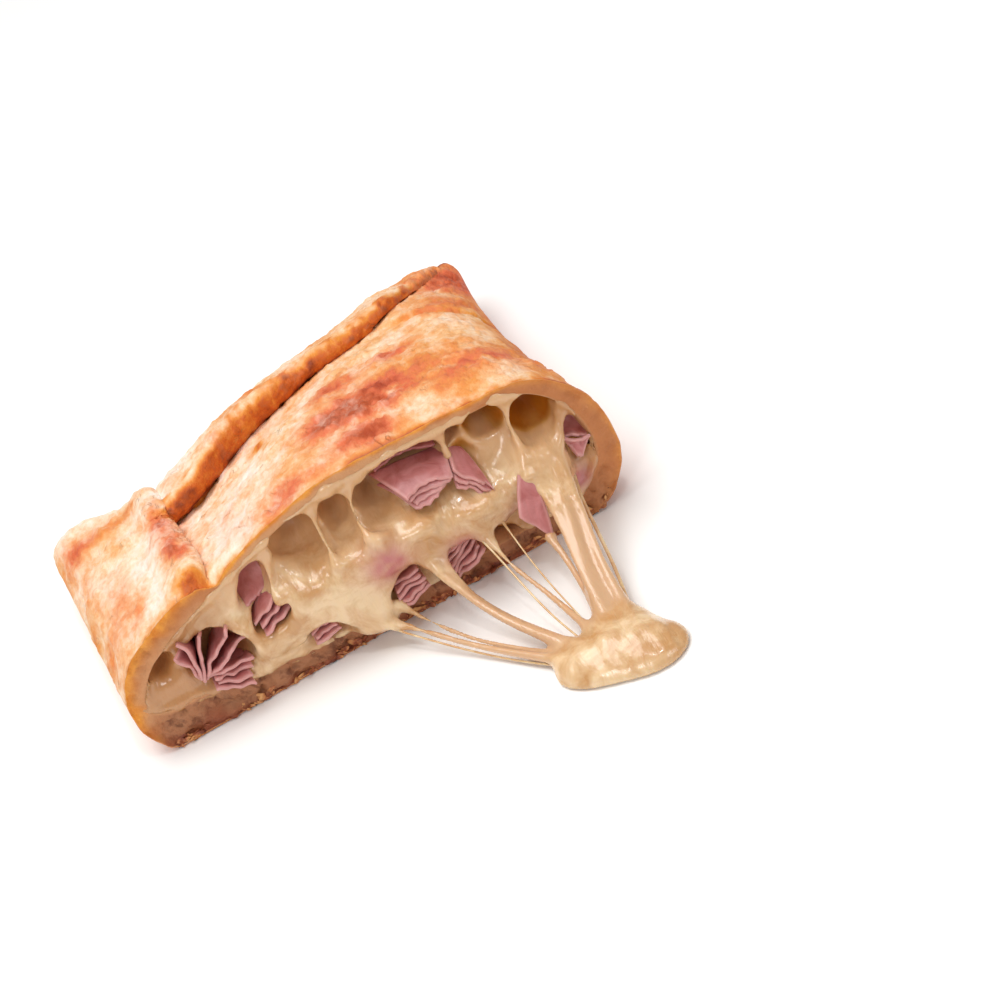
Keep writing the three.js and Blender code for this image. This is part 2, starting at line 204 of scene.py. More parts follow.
# Baked dough: floury matte cream with rosy drifts, blotches toasted orange and red, fine cracks,
# painted shade in its creases and at the seamless edge, and a tan porous cut with a golden rim
def doughMaterial():
    look = {"Specular IOR Level": 0.4, **scatter(0.08, 2, 1.2, 0.7)}
    material, tree, shader = newMaterial("baked_dough", look)
    place = placeIn(tree)
    names = ("toastAndShade", "blushAndShade", "cutFace", "under", "edgeTan", "smeared")
    toastAndShade, blushAndShade, cutFace, under, edgeTan, smeared = (attributeOf(tree, name) for name in names)
    drawn = stretched(place, (1, 0.6, 1))
    drift, mottle, freckle = (noiseOf(drawn, *wave) for wave in ((11, 2), (4.5, 5), (1.3, 4)))
    uneven = joined("ADD", spanned(mottle, 0.3, 0.7, -0.14, 0.14), spanned(freckle, 0.3, 0.7, -0.09, 0.09))
    # short dark cracks where two noises agree
    fissure = joined("ABSOLUTE", joined("SUBTRACT", noiseOf(drawn, 5, 2, 0.8), 0.5))
    where = spanned(noiseOf(place, 6.5, 1), 0.6, 0.7, 0, 1)
    crack = joined("MULTIPLY", spanned(fissure, 0, 0.02, 1, 0), where)
    # the baked skin; toast and blush also carry painted shade in the creases and at the seamless edge
    toasted, blushed = joined("ADD", toastAndShade, uneven), joined("ADD", blushAndShade, uneven)
    golden = rampOf(toasted, (0, "#fcebdb"), (0.16, "#f9dbba"), (0.34, "#eeb67c"),
                    (0.55, "#e08a2c"), (0.78, "#c45a08"), (1, "#8a3606"))
    pale = joined("MULTIPLY", spanned(drift, 0.4, 0.65, 0, 0.25), spanned(toasted, 0.3, 0.6, 1, 0))
    baked = mixColours(pale, golden, "#f7cdb4")
    rosy = rampOf(blushed, (0, "#f0a874"), (0.4, "#e58653"), (0.7, "#d7653f"), (1, "#aa3f1c"))
    skin = mixColours(spanned(blushed, 0.05, 0.6, 0, 0.9), baked, rosy)
    dusted = spanned(noiseOf(drawn, 3.2, 4, 0.5), 0.5, 0.68, 0, 0.4)
    flour = joined("MULTIPLY", dusted, spanned(toasted, 0.3, 0.7, 1, 0))
    cracked = mixColours(spanned(crack, 0, 1, 0, 0.3), mixColours(flour, skin, "#fbe0cb"), "#b5764c")
    # the cut, with its pores, its rim and a smear of cheese
    crumb = mixColours(under, "#c27a46", "#a8704c")
    varied = mixColours(spanned(mottle, 0.4, 0.7, 0, 0.45), crumb, "#a4623a")
    pores = joined("MULTIPLY", spanned(noiseOf(place, 2.4, 3, 0.5), 0.52, 0.66, 0, 0.8), under)
    porous = mixColours(pores, varied, "#6b3920")
    toned = mixColours(spanned(mottle, 0.4, 0.6, 0, 1), "#f6a63c", "#da8020")
    rimmed = mixColours(edgeTan, porous, mixColours(under, toned, "#8a4020"))
    cut = mixColours(smeared, rimmed, "#d0986a")
    tree.links.new(spanned(mottle, 0.3, 0.7, 0.5, 0.7), shader.inputs["Roughness"])
    grooves = joined("MULTIPLY", crack, spanned(cutFace, 0, 1, 0.6, 0))
    height = joined("SUBTRACT", joined("ADD", freckle, mottle), grooves)
    paint(shader, mixColours(cutFace, cracked, cut), height, 0.7, 0.6)
    return material


# Melted cheese: glossy cream with drawn streaks, lets a little light through, with painted brown shade in its
# bubbles
def cheeseMaterial():
    look = {"Roughness": 0.24, "Specular IOR Level": 0.6, "Coat Weight": 0.4, "Coat Roughness": 0.08}
    material, tree, shader = newMaterial("melted_cheese", look | scatter(0.25, 2, 1.3, 0.6))
    place = placeIn(tree)
    colour = mixColours(spanned(noiseOf(place, 6, 4, 0.6), 0.36, 0.62, 0, 1), "#e9c99e", "#c99762")
    tones = {"golden": "#d9ab7c", "thread": "#d2a880", "tanned": "#bb824e", "pink": "#bf6e6a"}
    for name, tone in tones.items():
        colour = mixColours(attributeOf(tree, name), colour, tone)
    bubbleShade = attributeOf(tree, "bubbleShade")
    # painted shade: the bubbles darken to deep brown where the shade mask is strong
    depth = rampOf(bubbleShade, (0, "#e2b07a"), (0.35, "#cc944e"), (0.7, "#b86c18"), (1, "#8a4404"))
    streak = noiseOf(stretched(place, (1, 0.22, 0.35)), 1.6, 3, 0.4)
    paint(shader, mixColours(spanned(bubbleShade, 0, 0.4, 0, 1), colour, depth), streak, 0.35, 0.7)
    return material


# Sliced ham: moist satin pink, mottled, a little paler where a slice ends
def hamMaterial():
    material, tree, shader = newMaterial("sliced_ham", {"Roughness": 0.3, **scatter(0.15, 1.6, 0.7, 0.6)})
    marble = noiseOf(placeIn(tree), 3.5, 4, 0.6)
    body = mixColours(spanned(marble, 0.35, 0.65, 0, 1), "#b0625f", "#c98280")
    edge = spanned(attributeOf(tree, "sliceEdge"), 0, 1, 0, 0.5)
    paint(shader, mixColours(edge, body, "#dfaca4"), marble, 0.35, 0.5)
    return material


bakedDough = doughMaterial()
meltedCheese = cheeseMaterial()
slicedHam = hamMaterial()


# Plan of the half: u from the left end to the seamless edge, v from the cut to the back
def planPoint(u, v):
    fromLeft = np.maximum(0, u) / dough["backSagAt"]
    sag = smooth(-0.1, 0.25, u) * (fromLeft * np.exp(1 - fromLeft)) ** 1.6
    backX = lerp(-dough["earReach"], cutLength - dough["apexInset"], u)
    backY = lerp(dough["leftDepth"], dough["apexDepth"], u) - dough["backSag"] * sag
    within = np.clip(v, 0, 1)
    x = lerp(cutLength * u, backX, v) - dough["rightWaist"] * u ** 3 * 4 * within * (1 - within)
    fromBack = dough["apexDepth"] * (1 - v)
    ear, apex = (dough["cornerPull"] * np.exp(-(side ** 2 + fromBack ** 2) / dough["cornerReach"] ** 2)
                 for side in (cutLength * u, cutLength * (1 - u)))
    return np.stack([x + ear - apex, backY * v - ear - apex], -1)


def domeTop(u, v):
    climbed = 1 - (1 - np.clip(cutLength * u / dough["crestAt"], 0, 1)) ** dough["climb"]
    drop = dough["rightDrop"] * smooth(0.55, 0.95, u)
    front = dough["domeHeight"] * lerp(dough["leftShare"], 1, climbed) * (1 - drop)
    fall = lerp(*dough["fall"], smooth(0.15, 0.65, u))
    edge = lerp(*dough["backEdge"], smooth(0, 0.25, u))
    return lerp(front, edge, np.clip(v, 0, 1) ** fall)


def rimHeight(u, v):
    return lerp(lerp(*dough["rimAtCut"], u), lerp(*dough["rimAtBack"], u), smooth(0, 1, v))


def rounding(u, v, ends, radii):
    # how far the dough has risen from its rim, 0 at the three closed sides
    here = planPoint(u, v)
    sides = ((0 * u + ends[0], v), (0 * u + ends[1], v), (u, 0 * v + ends[2]))
    risen = 1
    for (sideU, sideV), radius in zip(sides, radii):
        risen = risen * quarterRound(np.linalg.norm(here - planPoint(sideU, sideV), axis=-1) / radius)
    return risen


def lipTurn(t):
    # the free edge of a fold turns under: how far out and up it is, from its root to its crest
    under = np.sin(np.radians(dough["lipUnder"]))
    angle = np.radians(lerp(-dough["lipUnder"], 90, t))
    return np.cos(angle), (np.sin(angle) + under) / (1 + under)


def alongHem(u, key):
    # a smooth curve through the values given at places along the hem
    at, values = np.array(dough["hemAt"]), np.array(dough[key])
    slopes = np.gradient(values, at)
    u = np.clip(u, at[0], at[-1])
    k = np.clip(np.searchsorted(at, u) - 1, 0, len(at) - 2)
    run = at[k + 1] - at[k]
    t = (u - at[k]) / run
    bend = (slopes[k] * (1 - t) - slopes[k + 1] * t) * t * (1 - t) * run
    return lerp(values[k], values[k + 1], t * t * (3 - 2 * t)) + bend


# Left, right and back end of the dough and of the space for the filling
doughEnds = (0, 1, 1)
fillingEnds = (dough["side"][0] / cutLength, 1 - dough["side"][1] / cutLength, dough["fillingDepth"])


def fillingHeights(u, v, high, low):
    # roof and floor of the space for the filling
    rim = rimHeight(u, v)
    ceiling = np.maximum(domeTop(u, v) - lerp(*dough["roof"], smooth(0.1, 0.35, u)), rim + 1)
    ground = lerp(*dough["floor"], smooth(0.08, 0.36, u))
    return lerp(rim, ceiling, high), lerp(rim, ground, low)


# Browned places on the dough: x, y, their reach along x and y, how toasted and how red
patches = (
    (91.3, 75.5, 6, 8, 0.4, 0.8), (89.2, 56, 6, 6, 0.35, 0.3), (87, 15.5, 9, 5, 0.3, 0.42),
    (74, 39, 4, 3.5, 0.35, 0.6), (65, 20.5, 9, 8, 0.15, 0.75), (62, 7, 6, 4.5, 0.2, 0.6),
    (60, 40, 5, 5, 0.25, 0.5), (55.5, 23, 7, 7, 0.1, 0.4), (70, 26.5, 3, 3, 0.6, 0.3),
    (45, 5, 7, 5, 0.05, 0.5), (43, 40, 1.4, 1.6, 0.6, 0.1), (4.5, 51.5, 6, 4, 0.25, 0.2),
    (-0.5, 51.5, 3, 6, 0.1, 0.35), (15.5, 50.5, 8, 2.5, 0.25, 0.1), (19.8, 34, 3, 7, 0.05, 0.6),
    (21, 17.5, 3, 6, 0.25, 0.65), (21.5, 3, 2.4, 2.6, 0.5, -0.4), (6.5, 27, 4, 7, 0.05, 0.2),
    (7, 14, 4, 7, 0.12, 0.25), (64, 72, 4, 4, 0.3, 0.2), (55, 58, 4, 3, 0.3, 0.2), (46, 60.5, 3, 3, 0.3, 0.2),
    (40, 58, 3, 3, 0.3, 0.2), (36.5, 48.5, 3, 3, 0.1, 0.35), (31, 12, 6, 14, -0.1, 0),
    (78, 23.5, 12, 9, 0.28, 0.1), (30, 24.5, 5, 12, 0.08, 0.06), (1, 34, 3, 14, 0.15, 0.12),
    (2, 8, 3, 9, 0.2, 0.15),
)


def crustTop(u, v):
    # the upper side of the dough, and where its folds are
    plan = planPoint(u, v)
    x, y = plan[..., 0].copy(), plan[..., 1].copy()
    depth = lerp(dough["leftDepth"], dough["apexDepth"], u)
    hemStart = alongHem(u, "hemStart")
    pastFlap = cutLength * u - dough["flapWidth"]
    beforeHem = (hemStart - v) * depth
    flapT, hemT = (np.clip(-past / lip, 0, 1) for past in (pastFlap, beforeHem))
    flapOut, flapUp = lipTurn(flapT)
    hemOut, hemUp = lipTurn(hemT)
    flapAlong = 1 - dough["flapThinning"] * smooth(dough["flapThinFrom"], 1, v)
    hemAlong = smooth(*dough["hemTuck"], u) * smooth(0.6, 1.8, (1 - hemStart) * depth / lip)
    # the dough before a free edge runs on under it, and both free edges wander a little
    clear = smooth(0.5, 6, y)
    x += lip * (flapOut - 1 + flapT) * (1 - smooth(0, dough["runUnder"], pastFlap)) * clear * flapAlong
    y -= lip * (hemOut - 1 + hemT) * (1 - smooth(0, dough["runUnder"], beforeHem)) * hemAlong
    along = np.stack([0 * x + 4, plan[..., 1], 0 * x], -1)
    x += 0.9 * grain(along, 14, 2, 5) * np.exp(-(pastFlap / 9) ** 2)
    along = np.stack([plan[..., 0], 0 * x + 9, 0 * x], -1)
    y += 0.8 * grain(along, 13, 3, 6) * np.exp(-(beforeHem / 8) ** 2) * hemAlong
    z = domeTop(u, v)
    z += lerp(*dough["flapThickness"], v) * flapAlong * flapUp
    z += alongHem(u, "hemThickness") * hemAlong * hemUp
    z += 1.2 * np.exp(-((pastFlap + 4.5) / 3.2) ** 2) * clear
    # the flap's end rounds down at the cut
    z -= 2.0 * (1 - smooth(0, 4.5, y)) ** 2 * np.exp(-((pastFlap + 3.5) / 4) ** 2)
    # the pinched corner by the apex lies a little over the dome, along a crease
    creaseX, creaseY = dough["creaseFrom"]
    pastCrease = y - (creaseY - dough["creaseSlope"] * (x - creaseX))
    started = smooth(*dough["creaseStart"], x)
    z += 1.0 * smooth(-0.5, 0.6, pastCrease) * (1 - smooth(8, 24, pastCrease)) * started
    crease = np.exp(-(pastCrease / 0.8) ** 2) * started * (1 - smooth(*dough["creaseEnd"], x))
    risen = rounding(u, v, doughEnds, dough["topRound"])
    points = np.stack([x, y, lerp(rimHeight(u, v), z, risen)], -1)
    hem = smooth(0.15, 0.5, hemAlong)
    return points, {"hemT": hemT, "beforeHem": beforeHem, "hem": hem, "crease": crease, "risen": risen}


def crustMasks(points, u, folds):
    # how toasted and how red the dough is, with painted shade in its creases and at the seamless edge
    x, y = points[..., 0], points[..., 1]
    drawn = points * np.array((1, 0.62, 1))
    broken = 0.32 * grain(drawn, 3.6, 3, 3) + 0.16 * grain(drawn, 1.5, 2, 4)
    toastAndShade = 0.14 + 0.2 * grain(drawn, 8, 3, 1) + 0.16 * smooth(24, 64, x)
    blushAndShade = 0.08 + 0.14 * grain(drawn, 9, 2, 2)
    for atX, atY, reachX, reachY, toasted, reddened in patches:
        away = ((x - atX) / reachX) ** 2 + ((y - atY) / reachY) ** 2
        blotch = np.clip(np.exp(-away) * (0.9 + 1.6 * broken), 0, 1.2) + 0.2 * np.exp(-away * 0.45)
        toastAndShade += toasted * blotch
        blushAndShade += reddened * blotch
    # the hem's face is golden, painted shadow darkens its crease and the dome just before it, and its crest
    # has orange spots
    hem, hemT, beforeHem = (folds[key] for key in ("hem", "hemT", "beforeHem"))
    face = smooth(0, 0.1, hemT) * (1 - smooth(0.62, 0.95, hemT))
    root = np.where(hemT > 0, np.exp(-(hemT / 0.2) ** 2), np.exp(-(beforeHem / 1.1) ** 2))
    crest = np.exp(-((beforeHem + 1.1 * lip) / 2.4) ** 2) * smooth(0, 0.35, broken)
    leftward = 1 - smooth(0.32, 0.55, u)
    # painted shade: the crease under the hem, and a thin dark line along the apex crease
    toastAndShade += hem * ((0.42 + 0.2 * leftward) * face + 0.5 * root + 0.5 * crest) + 0.2 * folds["crease"]
    blushAndShade -= hem * 0.3 * np.clip(face + root, 0, 1)
    # golden along the cut and at the rim; darker at the seamless edge, partly a more baked edge and partly
    # painted shade where the dome turns away from the light
    uneven = 0.4 + 0.9 * smooth(-0.3, 0.4, grain(points, 7, 2, 27))
    toastAndShade += 0.45 * uneven * np.exp(-y / lerp(2.2, 1.2, smooth(24, 30, x)))
    seamless = smooth(91, 100, x)
    toastAndShade += 0.15 * (1 - smooth(0.3, 0.9, folds["risen"])) + 0.24 * seamless
    blushAndShade += 0.12 * seamless
    return np.clip(toastAndShade, 0, 1), np.clip(blushAndShade, 0, 1)


def gridFaces(index, reverse, *corners):
    # four-sided faces of a grid of points, split in two in the corner cells given by row and column
    cells = np.stack([index[:-1, :-1], index[:-1, 1:], index[1:, 1:], index[1:, :-1]], -1)
    split = []
    whole = np.ones(cells.shape[:2], bool)
    for row, column in corners:
        a, b, c, d = cells[row, column].tolist()
        split += [[a, b, c], [a, c, d]] if (row == 0) == (column == 0) else [[a, b, d], [b, c, d]]
        whole[row, column] = False
    faces = cells[whole].tolist() + split
    return [face[::-1] for face in faces] if reverse else faces


def sewn(upper, lower, step, free):
    # the points of two sides and their numbers, where the lower side has points of its own in its free rows
    fine = np.arange(upper[..., 0].size).reshape(upper.shape[:2])
    under = fine[::step, ::step].copy()
    inner = np.zeros(under.shape, bool)
    inner[free, 1:-1] = True
    under[inner] = fine.size + np.arange(inner.sum())
    return np.concatenate([upper.reshape(-1, 3), lower[::step, ::step][inner]]), fine, under


def closedGrid(upper, lower):
    # a fine upper side and a lower side with every second sample, sewn at the rim and open at the front row
    points, fine, coarse = sewn(upper, lower, 2, slice(0, -1))
    faces = gridFaces(fine, False, (-1, 0), (-1, -1))
    lastRow, lastColumn = coarse.shape[0] - 2, coarse.shape[1] - 2
    for j in range(lastRow + 1):
        for i in range(lastColumn + 1):
            # at the rim a coarse face takes in the fine point between its corners
            right = [fine[2 * j + 1, -1]] if i == lastColumn else []
            back = [fine[-1, 2 * i + 1]] if j == lastRow else []
            left = [fine[2 * j + 1, 0]] if i == 0 else []
            near, far = coarse[j, i:i + 2], coarse[j + 1, i:i + 2]
            face = [*near, *right, far[1], *back, far[0], *left]
            faces.append([int(k) for k in reversed(face)])
    return points, faces, np.concatenate([fine[0], coarse[0, -2:0:-1]])


def gridNormals(points):
    normals = np.cross(np.gradient(points, axis=1), np.gradient(points, axis=0))
    return normals / np.maximum(1e-9, np.linalg.norm(normals, axis=-1, keepdims=True))


def pushed(grid, amount):
    # moves a side of the dough along its normals, the front row within the cut
    normals = gridNormals(grid)
    normals[0, :, 1] = 0
    return grid + normals * amount[..., None]


# Crust: one skin of dough, its cut face and the walls of the space for the filling
crustLook = {"columns": (60, 28, 212), "rows": (136, 28, 36), "inside": 24, "cutRows": 12,
             "undulation": 0.5, "wrinkle": 0.28, "blister": 0.5, "pit": 0.3, "groove": 0.4,
             "cutBulge": 0.15, "cutPore": 1.1}


def crustWaves(points, drawn):
    return crustLook["undulation"] * grain(points, 13, 2, 11) + crustLook["wrinkle"] * grain(drawn, 5, 3, 12)


def cutBands(outside, inside):
    # the cut face from the outer loop to the inner one, porous below and a little swollen, with its masks
    x = outside[:, 0]
    thickness = np.linalg.norm(inside - outside, axis=-1)
    z = lerp(outside, inside, 0.5)[:, 2]
    base = 1 - smooth(4, 10, z)
    below = np.maximum(base, 0.2 * smooth(92, 98, x))
    below = np.maximum(below, 0.55 * (1 - smooth(6, 22, x)))
    leftEnd = 1 - smooth(8, 26, x)
    uneven = 0.6 + 0.8 * smooth(-0.4, 0.4, grain(outside, 6, 2, 26))
    rimWidth = (lerp(0.9, 1.2, base) + 2.4 * leftEnd) * uneven
    rimTan = 1 - 0.6 * smooth(80, 97, x)
    nearLeft = (1 - smooth(14, 30, x)) * (1 - 0.8 * base)
    underRoof = smooth(22, 32, x) * (1 - smooth(74, 88, x)) * smooth(14, 20, z)
    bands, tans, smears = [], [], []
    for t in np.linspace(0, 1, crustLook["cutRows"] + 2)[1:-1] ** 1.3:
        band = lerp(outside, inside, t)
        inset = smooth(0, 0.6, t * thickness) * smooth(0.4, 2, (1 - t) * thickness)
        rough = lerp(0.12, 1.0, below) * inset
        band[:, 1] -= crustLook["cutBulge"] * np.sin(np.pi * t)
        band[:, 1] += rough * crustLook["cutPore"] * smooth(-0.1, 0.5, grain(band, 2.2, 3, 16))
        band[:, 1] -= rough * grain(band, 4.5, 3, 17)
        band[:, 2] += rough * 0.5 * grain(band, 2.5, 2, 18)
        bands.append(band)
        tans.append(np.exp(-(t * thickness / rimWidth) ** 2) * rimTan)
        wiped = t + 0.3 * grain(band, 3, 2, 28)
        onSide = 0.7 * smooth(0.4, 1, wiped) * nearLeft
        onRoof = 0.9 * smooth(0.1, 0.5, wiped) * underRoof
        smears.append(np.maximum(onSide, onRoof))
    under = lerp(base, below, 0.2) * (1 - 0.6 * smooth(84, 96, x))
    return bands, tans, smears, under


def buildCrust():
    # samples are close in the free edges of the folds and towards the closed sides
    flapEdge = dough["flapWidth"] / cutLength
    ways = [np.linspace(0, 1, n + 1) for n in crustLook["columns"]]
    us = np.concatenate([
        (flapEdge - lip / cutLength) * (1 - np.cos(ways[0] * np.pi / 2)),
        (flapEdge - lip / cutLength * (1 - ways[1]))[1:],
        lerp(flapEdge, 1, np.sin(ways[2] * np.pi / 2))[1:],
    ])
    start = alongHem(us, "hemStart")
    crest = start + lip / lerp(dough["leftDepth"], dough["apexDepth"], us)
    ways = [np.linspace(0, 1, n + 1)[:, None] for n in crustLook["rows"]]
    toBack = np.sin(ways[2] * np.pi / 2)
    v = np.concatenate([start * ways[0], lerp(start, crest, ways[1])[1:], lerp(crest, 1, toBack)[1:]])
    u = us + 0 * v
    top, folds = crustTop(u, v)
    toastAndShade, blushAndShade = crustMasks(top, u, folds)
    # soft waves all over, blisters where it browned and small pits
    drawn = top * np.array((1, 0.75, 1))
    browned = np.clip(0.3 + 0.4 * toastAndShade + 0.8 * blushAndShade, 0, 1)
    relief = crustWaves(top, drawn)
    grooves = np.exp(-(grain(drawn, 4.4, 2, 19) / 0.09) ** 2)
    relief -= crustLook["groove"] * grooves * np.clip(0.15 + blushAndShade, 0, 1)
    relief += crustLook["blister"] * browned * smooth(0.0, 0.5, grain(drawn, 3, 3, 13))
    relief -= crustLook["pit"] * smooth(0.25, 0.7, grain(drawn, 1.6, 2, 14))
    relief -= crustLook["groove"] * folds["crease"]
    top = pushed(top, relief * lerp(0.35, 1, smooth(0, 4, top[..., 1])) * smooth(0, 0.5, folds["risen"]))
    # the lower side, which browns from the rim to the base
    low = rounding(u, v, doughEnds, dough["baseRound"])
    bottom = np.dstack([planPoint(u, v), lerp(rimHeight(u, v), 0, low)])
    bottom[..., 2] += 0.35 * np.maximum(0, grain(bottom, 5, 3, 15)) * smooth(0, 0.4, low)
    waves = crustWaves(bottom, bottom) * smooth(0, 0.3, low) * smooth(0.5, 3, bottom[..., 2])
    bottom = pushed(bottom, -waves)
    outer, faces, outerLoop = closedGrid(top, bottom)
    lower = bottom[::2, ::2][:-1, 1:-1].reshape(-1, 3)
    plain = {key: 0 * lower[:, 0] for key in folds}
    plain["beforeHem"] += dough["apexDepth"]
    # the lower side's toast and blush also take the painted shade at the seamless edge
    lowMasks = zip(crustMasks(lower, lower[:, 0] / cutLength, plain), (0.3, 0.12))
    down = smooth(0, 1, low)[::2, ::2][:-1, 1:-1].ravel()
    lowToastAndShade, lowBlushAndShade = (np.clip(mask + amount * down, 0, 1) for mask, amount in lowMasks)
    # the walls of the space inside
    deep = fillingEnds[2] * np.sin(np.linspace(0, np.pi / 2, crustLook["inside"] + 1))
    inU, inV = np.meshgrid(lerp(fillingEnds[0], fillingEnds[1], us), deep)
    rises = [rounding(inU, inV, fillingEnds, dough[key]) for key in ("roofRound", "floorRound")]
    roof, floor = (np.dstack([planPoint(inU, inV), z]) for z in fillingHeights(inU, inV, *rises))
    inner, innerFaces, innerLoop = closedGrid(roof, floor)
    # the cut face between them
    bands, tans, smears, under = cutBands(outer[outerLoop], inner[innerLoop])
    points = np.concatenate([outer] + bands + [inner])
    count = len(outerLoop)
    innerStart = len(outer) + len(bands) * count
    rings = [outerLoop] + [len(outer) + n * count + np.arange(count) for n in range(len(bands))]
    rings.append(innerLoop + innerStart)
    for a, b in zip(rings, rings[1:]):
        faces += np.stack([a, b, np.roll(b, -1), np.roll(a, -1)], -1).tolist()
    faces += [[int(k) + innerStart for k in reversed(face)] for face in innerFaces]
    onOuter, onCut, onInner = (np.zeros(n) for n in (len(outer), len(bands) * count, len(inner)))
    masks = {
        "toastAndShade": (toastAndShade.ravel(), lowToastAndShade, onCut, onInner),
        "blushAndShade": (blushAndShade.ravel(), lowBlushAndShade, onCut, onInner),
        "cutFace": (onOuter, onCut + 1, onInner + 1),
        "under": (onOuter, np.tile(under, len(bands)), onInner),
        "edgeTan": (onOuter, *tans, onInner),
        "smeared": (onOuter, *smears, onInner + 0.9),
    }
    masks = {key: np.concatenate(parts) for key, parts in masks.items()}
    addPiece("crust_skin", "crust", points, faces, bakedDough, masks)


buildCrust()
print("crust built")

# Melted filling in mm. A bubble has its middle, its radii and how far it leans clockwise, seen from the cut.
# A lobe and a part of the run-off have a middle and radii. A rib between bubbles has a path and its radius
# at root, waist and tip. A string has a path, the spread of its strands at root and tip, their number and
# those radii. Pink is where ham shows through, and how far around.
melt = {
    "step": 0.42, "front": 0.7, "clearance": 0.15, "lift": 0.02, "samples": 15, "turns": 3,
    "lobeSoft": 3.5, "bubbleSoft": (3.0, 0.8), "ribSoft": 1.4, "stringSoft": 2.0, "strandSoft": 0.7,
    "runOffSoft": 3, "filmFront": -0.3, "filmWidth": 2.4,
    "x": (-1.26, 103), "y": (-53, 14), "z": (-0.84, 37), "backRows": 40, "backStep": 4,
    "bubbles": (
        ((9.2, 0.2, 17.4), (2.6, 6, 3.6), 32), ((31, 0.6, 23), (2.7, 7, 4.8), 45),
        ((31.6, 0, 16.8), (2.7, 6, 4.2), 68), ((42, 0.2, 26.9), (5.4, 9.5, 4.9), 31),
        ((50.4, 0.2, 27.4), (3.1, 9, 4.4), 8), ((58.2, 0.2, 27), (4.4, 9, 3.9), 40),
        ((66.2, 1.5, 29.8), (7.8, 9, 3.1), 6), ((75.8, 0.4, 30.6), (1.9, 7, 1.9), 20),
        ((81.6, 0.2, 29.2), (4.1, 9, 3.8), 34), ((89.8, 0.2, 26.2), (4.5, 9.5, 4.5), 38),
        ((95, 0.4, 19.5), (2.7, 7, 2.5), 35), ((56, -3, 8.6), (4.8, 7, 3), -4),
        ((67.4, -2.5, 9), (4.8, 8, 3.2), -22), ((38.4, -1, 8.4), (3.4, 5, 1.9), 0),
        ((19.2, 0, 14), (6.4, 6.4, 5.4), 32), ((74, -4, 5.5), (6, 8, 3.4), 20),
        ((75.6, -1.6, 26), (2.6, 5, 2.6), 34), ((94.6, -0.5, 16), (2.4, 3, 2.6), 30),
    ),
    "lobes": (
        ((29, 1, 13.4), (9, 3.2, 5)), ((41, 0.6, 15.4), (11, 4.6, 6.8)), ((56, -0.4, 17.6), (12, 5.6, 5.6)),
        ((72, -0.4, 15.2), (12, 5.6, 5.2)), ((86.8, -0.4, 16), (6.2, 5, 7.5)), ((48, -2.6, 8), (6, 3.2, 5.4)),
        ((54.7, -4.4, 22), (2.6, 1.6, 1.6)), ((44.8, -3, 16.4), (3, 1.4, 2)),
        ((62, -5, 19.6), (3.4, 1.6, 1.4)), ((74, -5, 17.6), (3, 1.6, 1.6)),
        ((35.8, -1, 17.9), (2.4, 1.4, 2)), ((29.4, 0.2, 20.4), (1.4, 1.2, 1.8)),
    ),
    "ribs": (
        (((57, 1.5, 33), (54.1, 0, 30.2), (53.3, -2, 26.4), (53.3, -4.4, 23.4)), (0.7, 0.35, 0.8)),
        (((47, 1.5, 31.5), (46.4, 0, 28.7), (46.3, -1.5, 24.7), (46.3, -3.4, 21)), (0.8, 0.4, 0.9)),
        (((86.4, 1.5, 32), (85.2, 0, 26.7), (85.2, -2.2, 22.2), (83.8, -4.4, 18.4)), (0.8, 0.4, 0.9)),
        (((96, 1.5, 26), (93.4, 0, 21.3), (91, -2.4, 18.3), (89, -4.4, 16)), (0.9, 0.6, 1.2)),
        (((35.9, 1, 27.5), (34.8, 0, 24.5), (33.9, -1.2, 21.3), (33.8, -1.8, 19)), (0.7, 0.35, 0.7)),
        (((73.6, 2, 33), (73.3, 1.4, 30), (73.1, 0.8, 26.8)), (0.6, 0.35, 0.7)),
    ),
    "strings": (
        (((49.5, -4, 6.6), (54, -8.5, 3.6), (62, -20, 2), (75.5, -37.5, 1.6)),
         (6, 1.2), 2, (1.4, 0.5, 1.1)),
        (((61.8, -4.6, 13), (63.5, -10.5, 8.3), (68.5, -20.5, 4), (78, -38.5, 2)),
         (2.4, 0.4), 2, (1.6, 0.72, 1.4)),
        (((73, -5, 11.4), (74.4, -11, 7.4), (77.2, -20, 4.2), (80.4, -37.5, 2.4)),
         (3, 0.4), 1, (1.2, 0.48, 1.2)),
        (((82.6, -10, 7.6), (83.4, -15, 6), (83.2, -24, 4), (82, -39, 2.2)),
         (1.4, 2), 1, (1.1, 0.6, 1.5)),
        (((87.4, -4, 16.5), (86.8, -12, 11.5), (85.2, -23, 6.2), (84.6, -40, 2)),
         (3.8, 4.2), 5, (1.5, 0.66, 1.7)),
    ),
    "runOff": (
        ((81, -39, 0), (8, 6.6, 4.4)), ((87, -42.6, 0), (6.4, 5.6, 3.6)),
        ((75.4, -37.6, 0), (5, 4, 2.4)), ((84, -35, 0), (5, 4.5, 3.2)),
    ),
    "pink": (((54.2, -5, 16.6), 4), ((67, -6, 12), 3), ((80, -5, 10), 3.5), ((92.2, 0.4, 9), 2.6)),
}


def softMin(a, b, k):
    near = np.maximum(k - np.abs(a - b), 0) / k
    return np.minimum(a, b) - near * near * k / 4


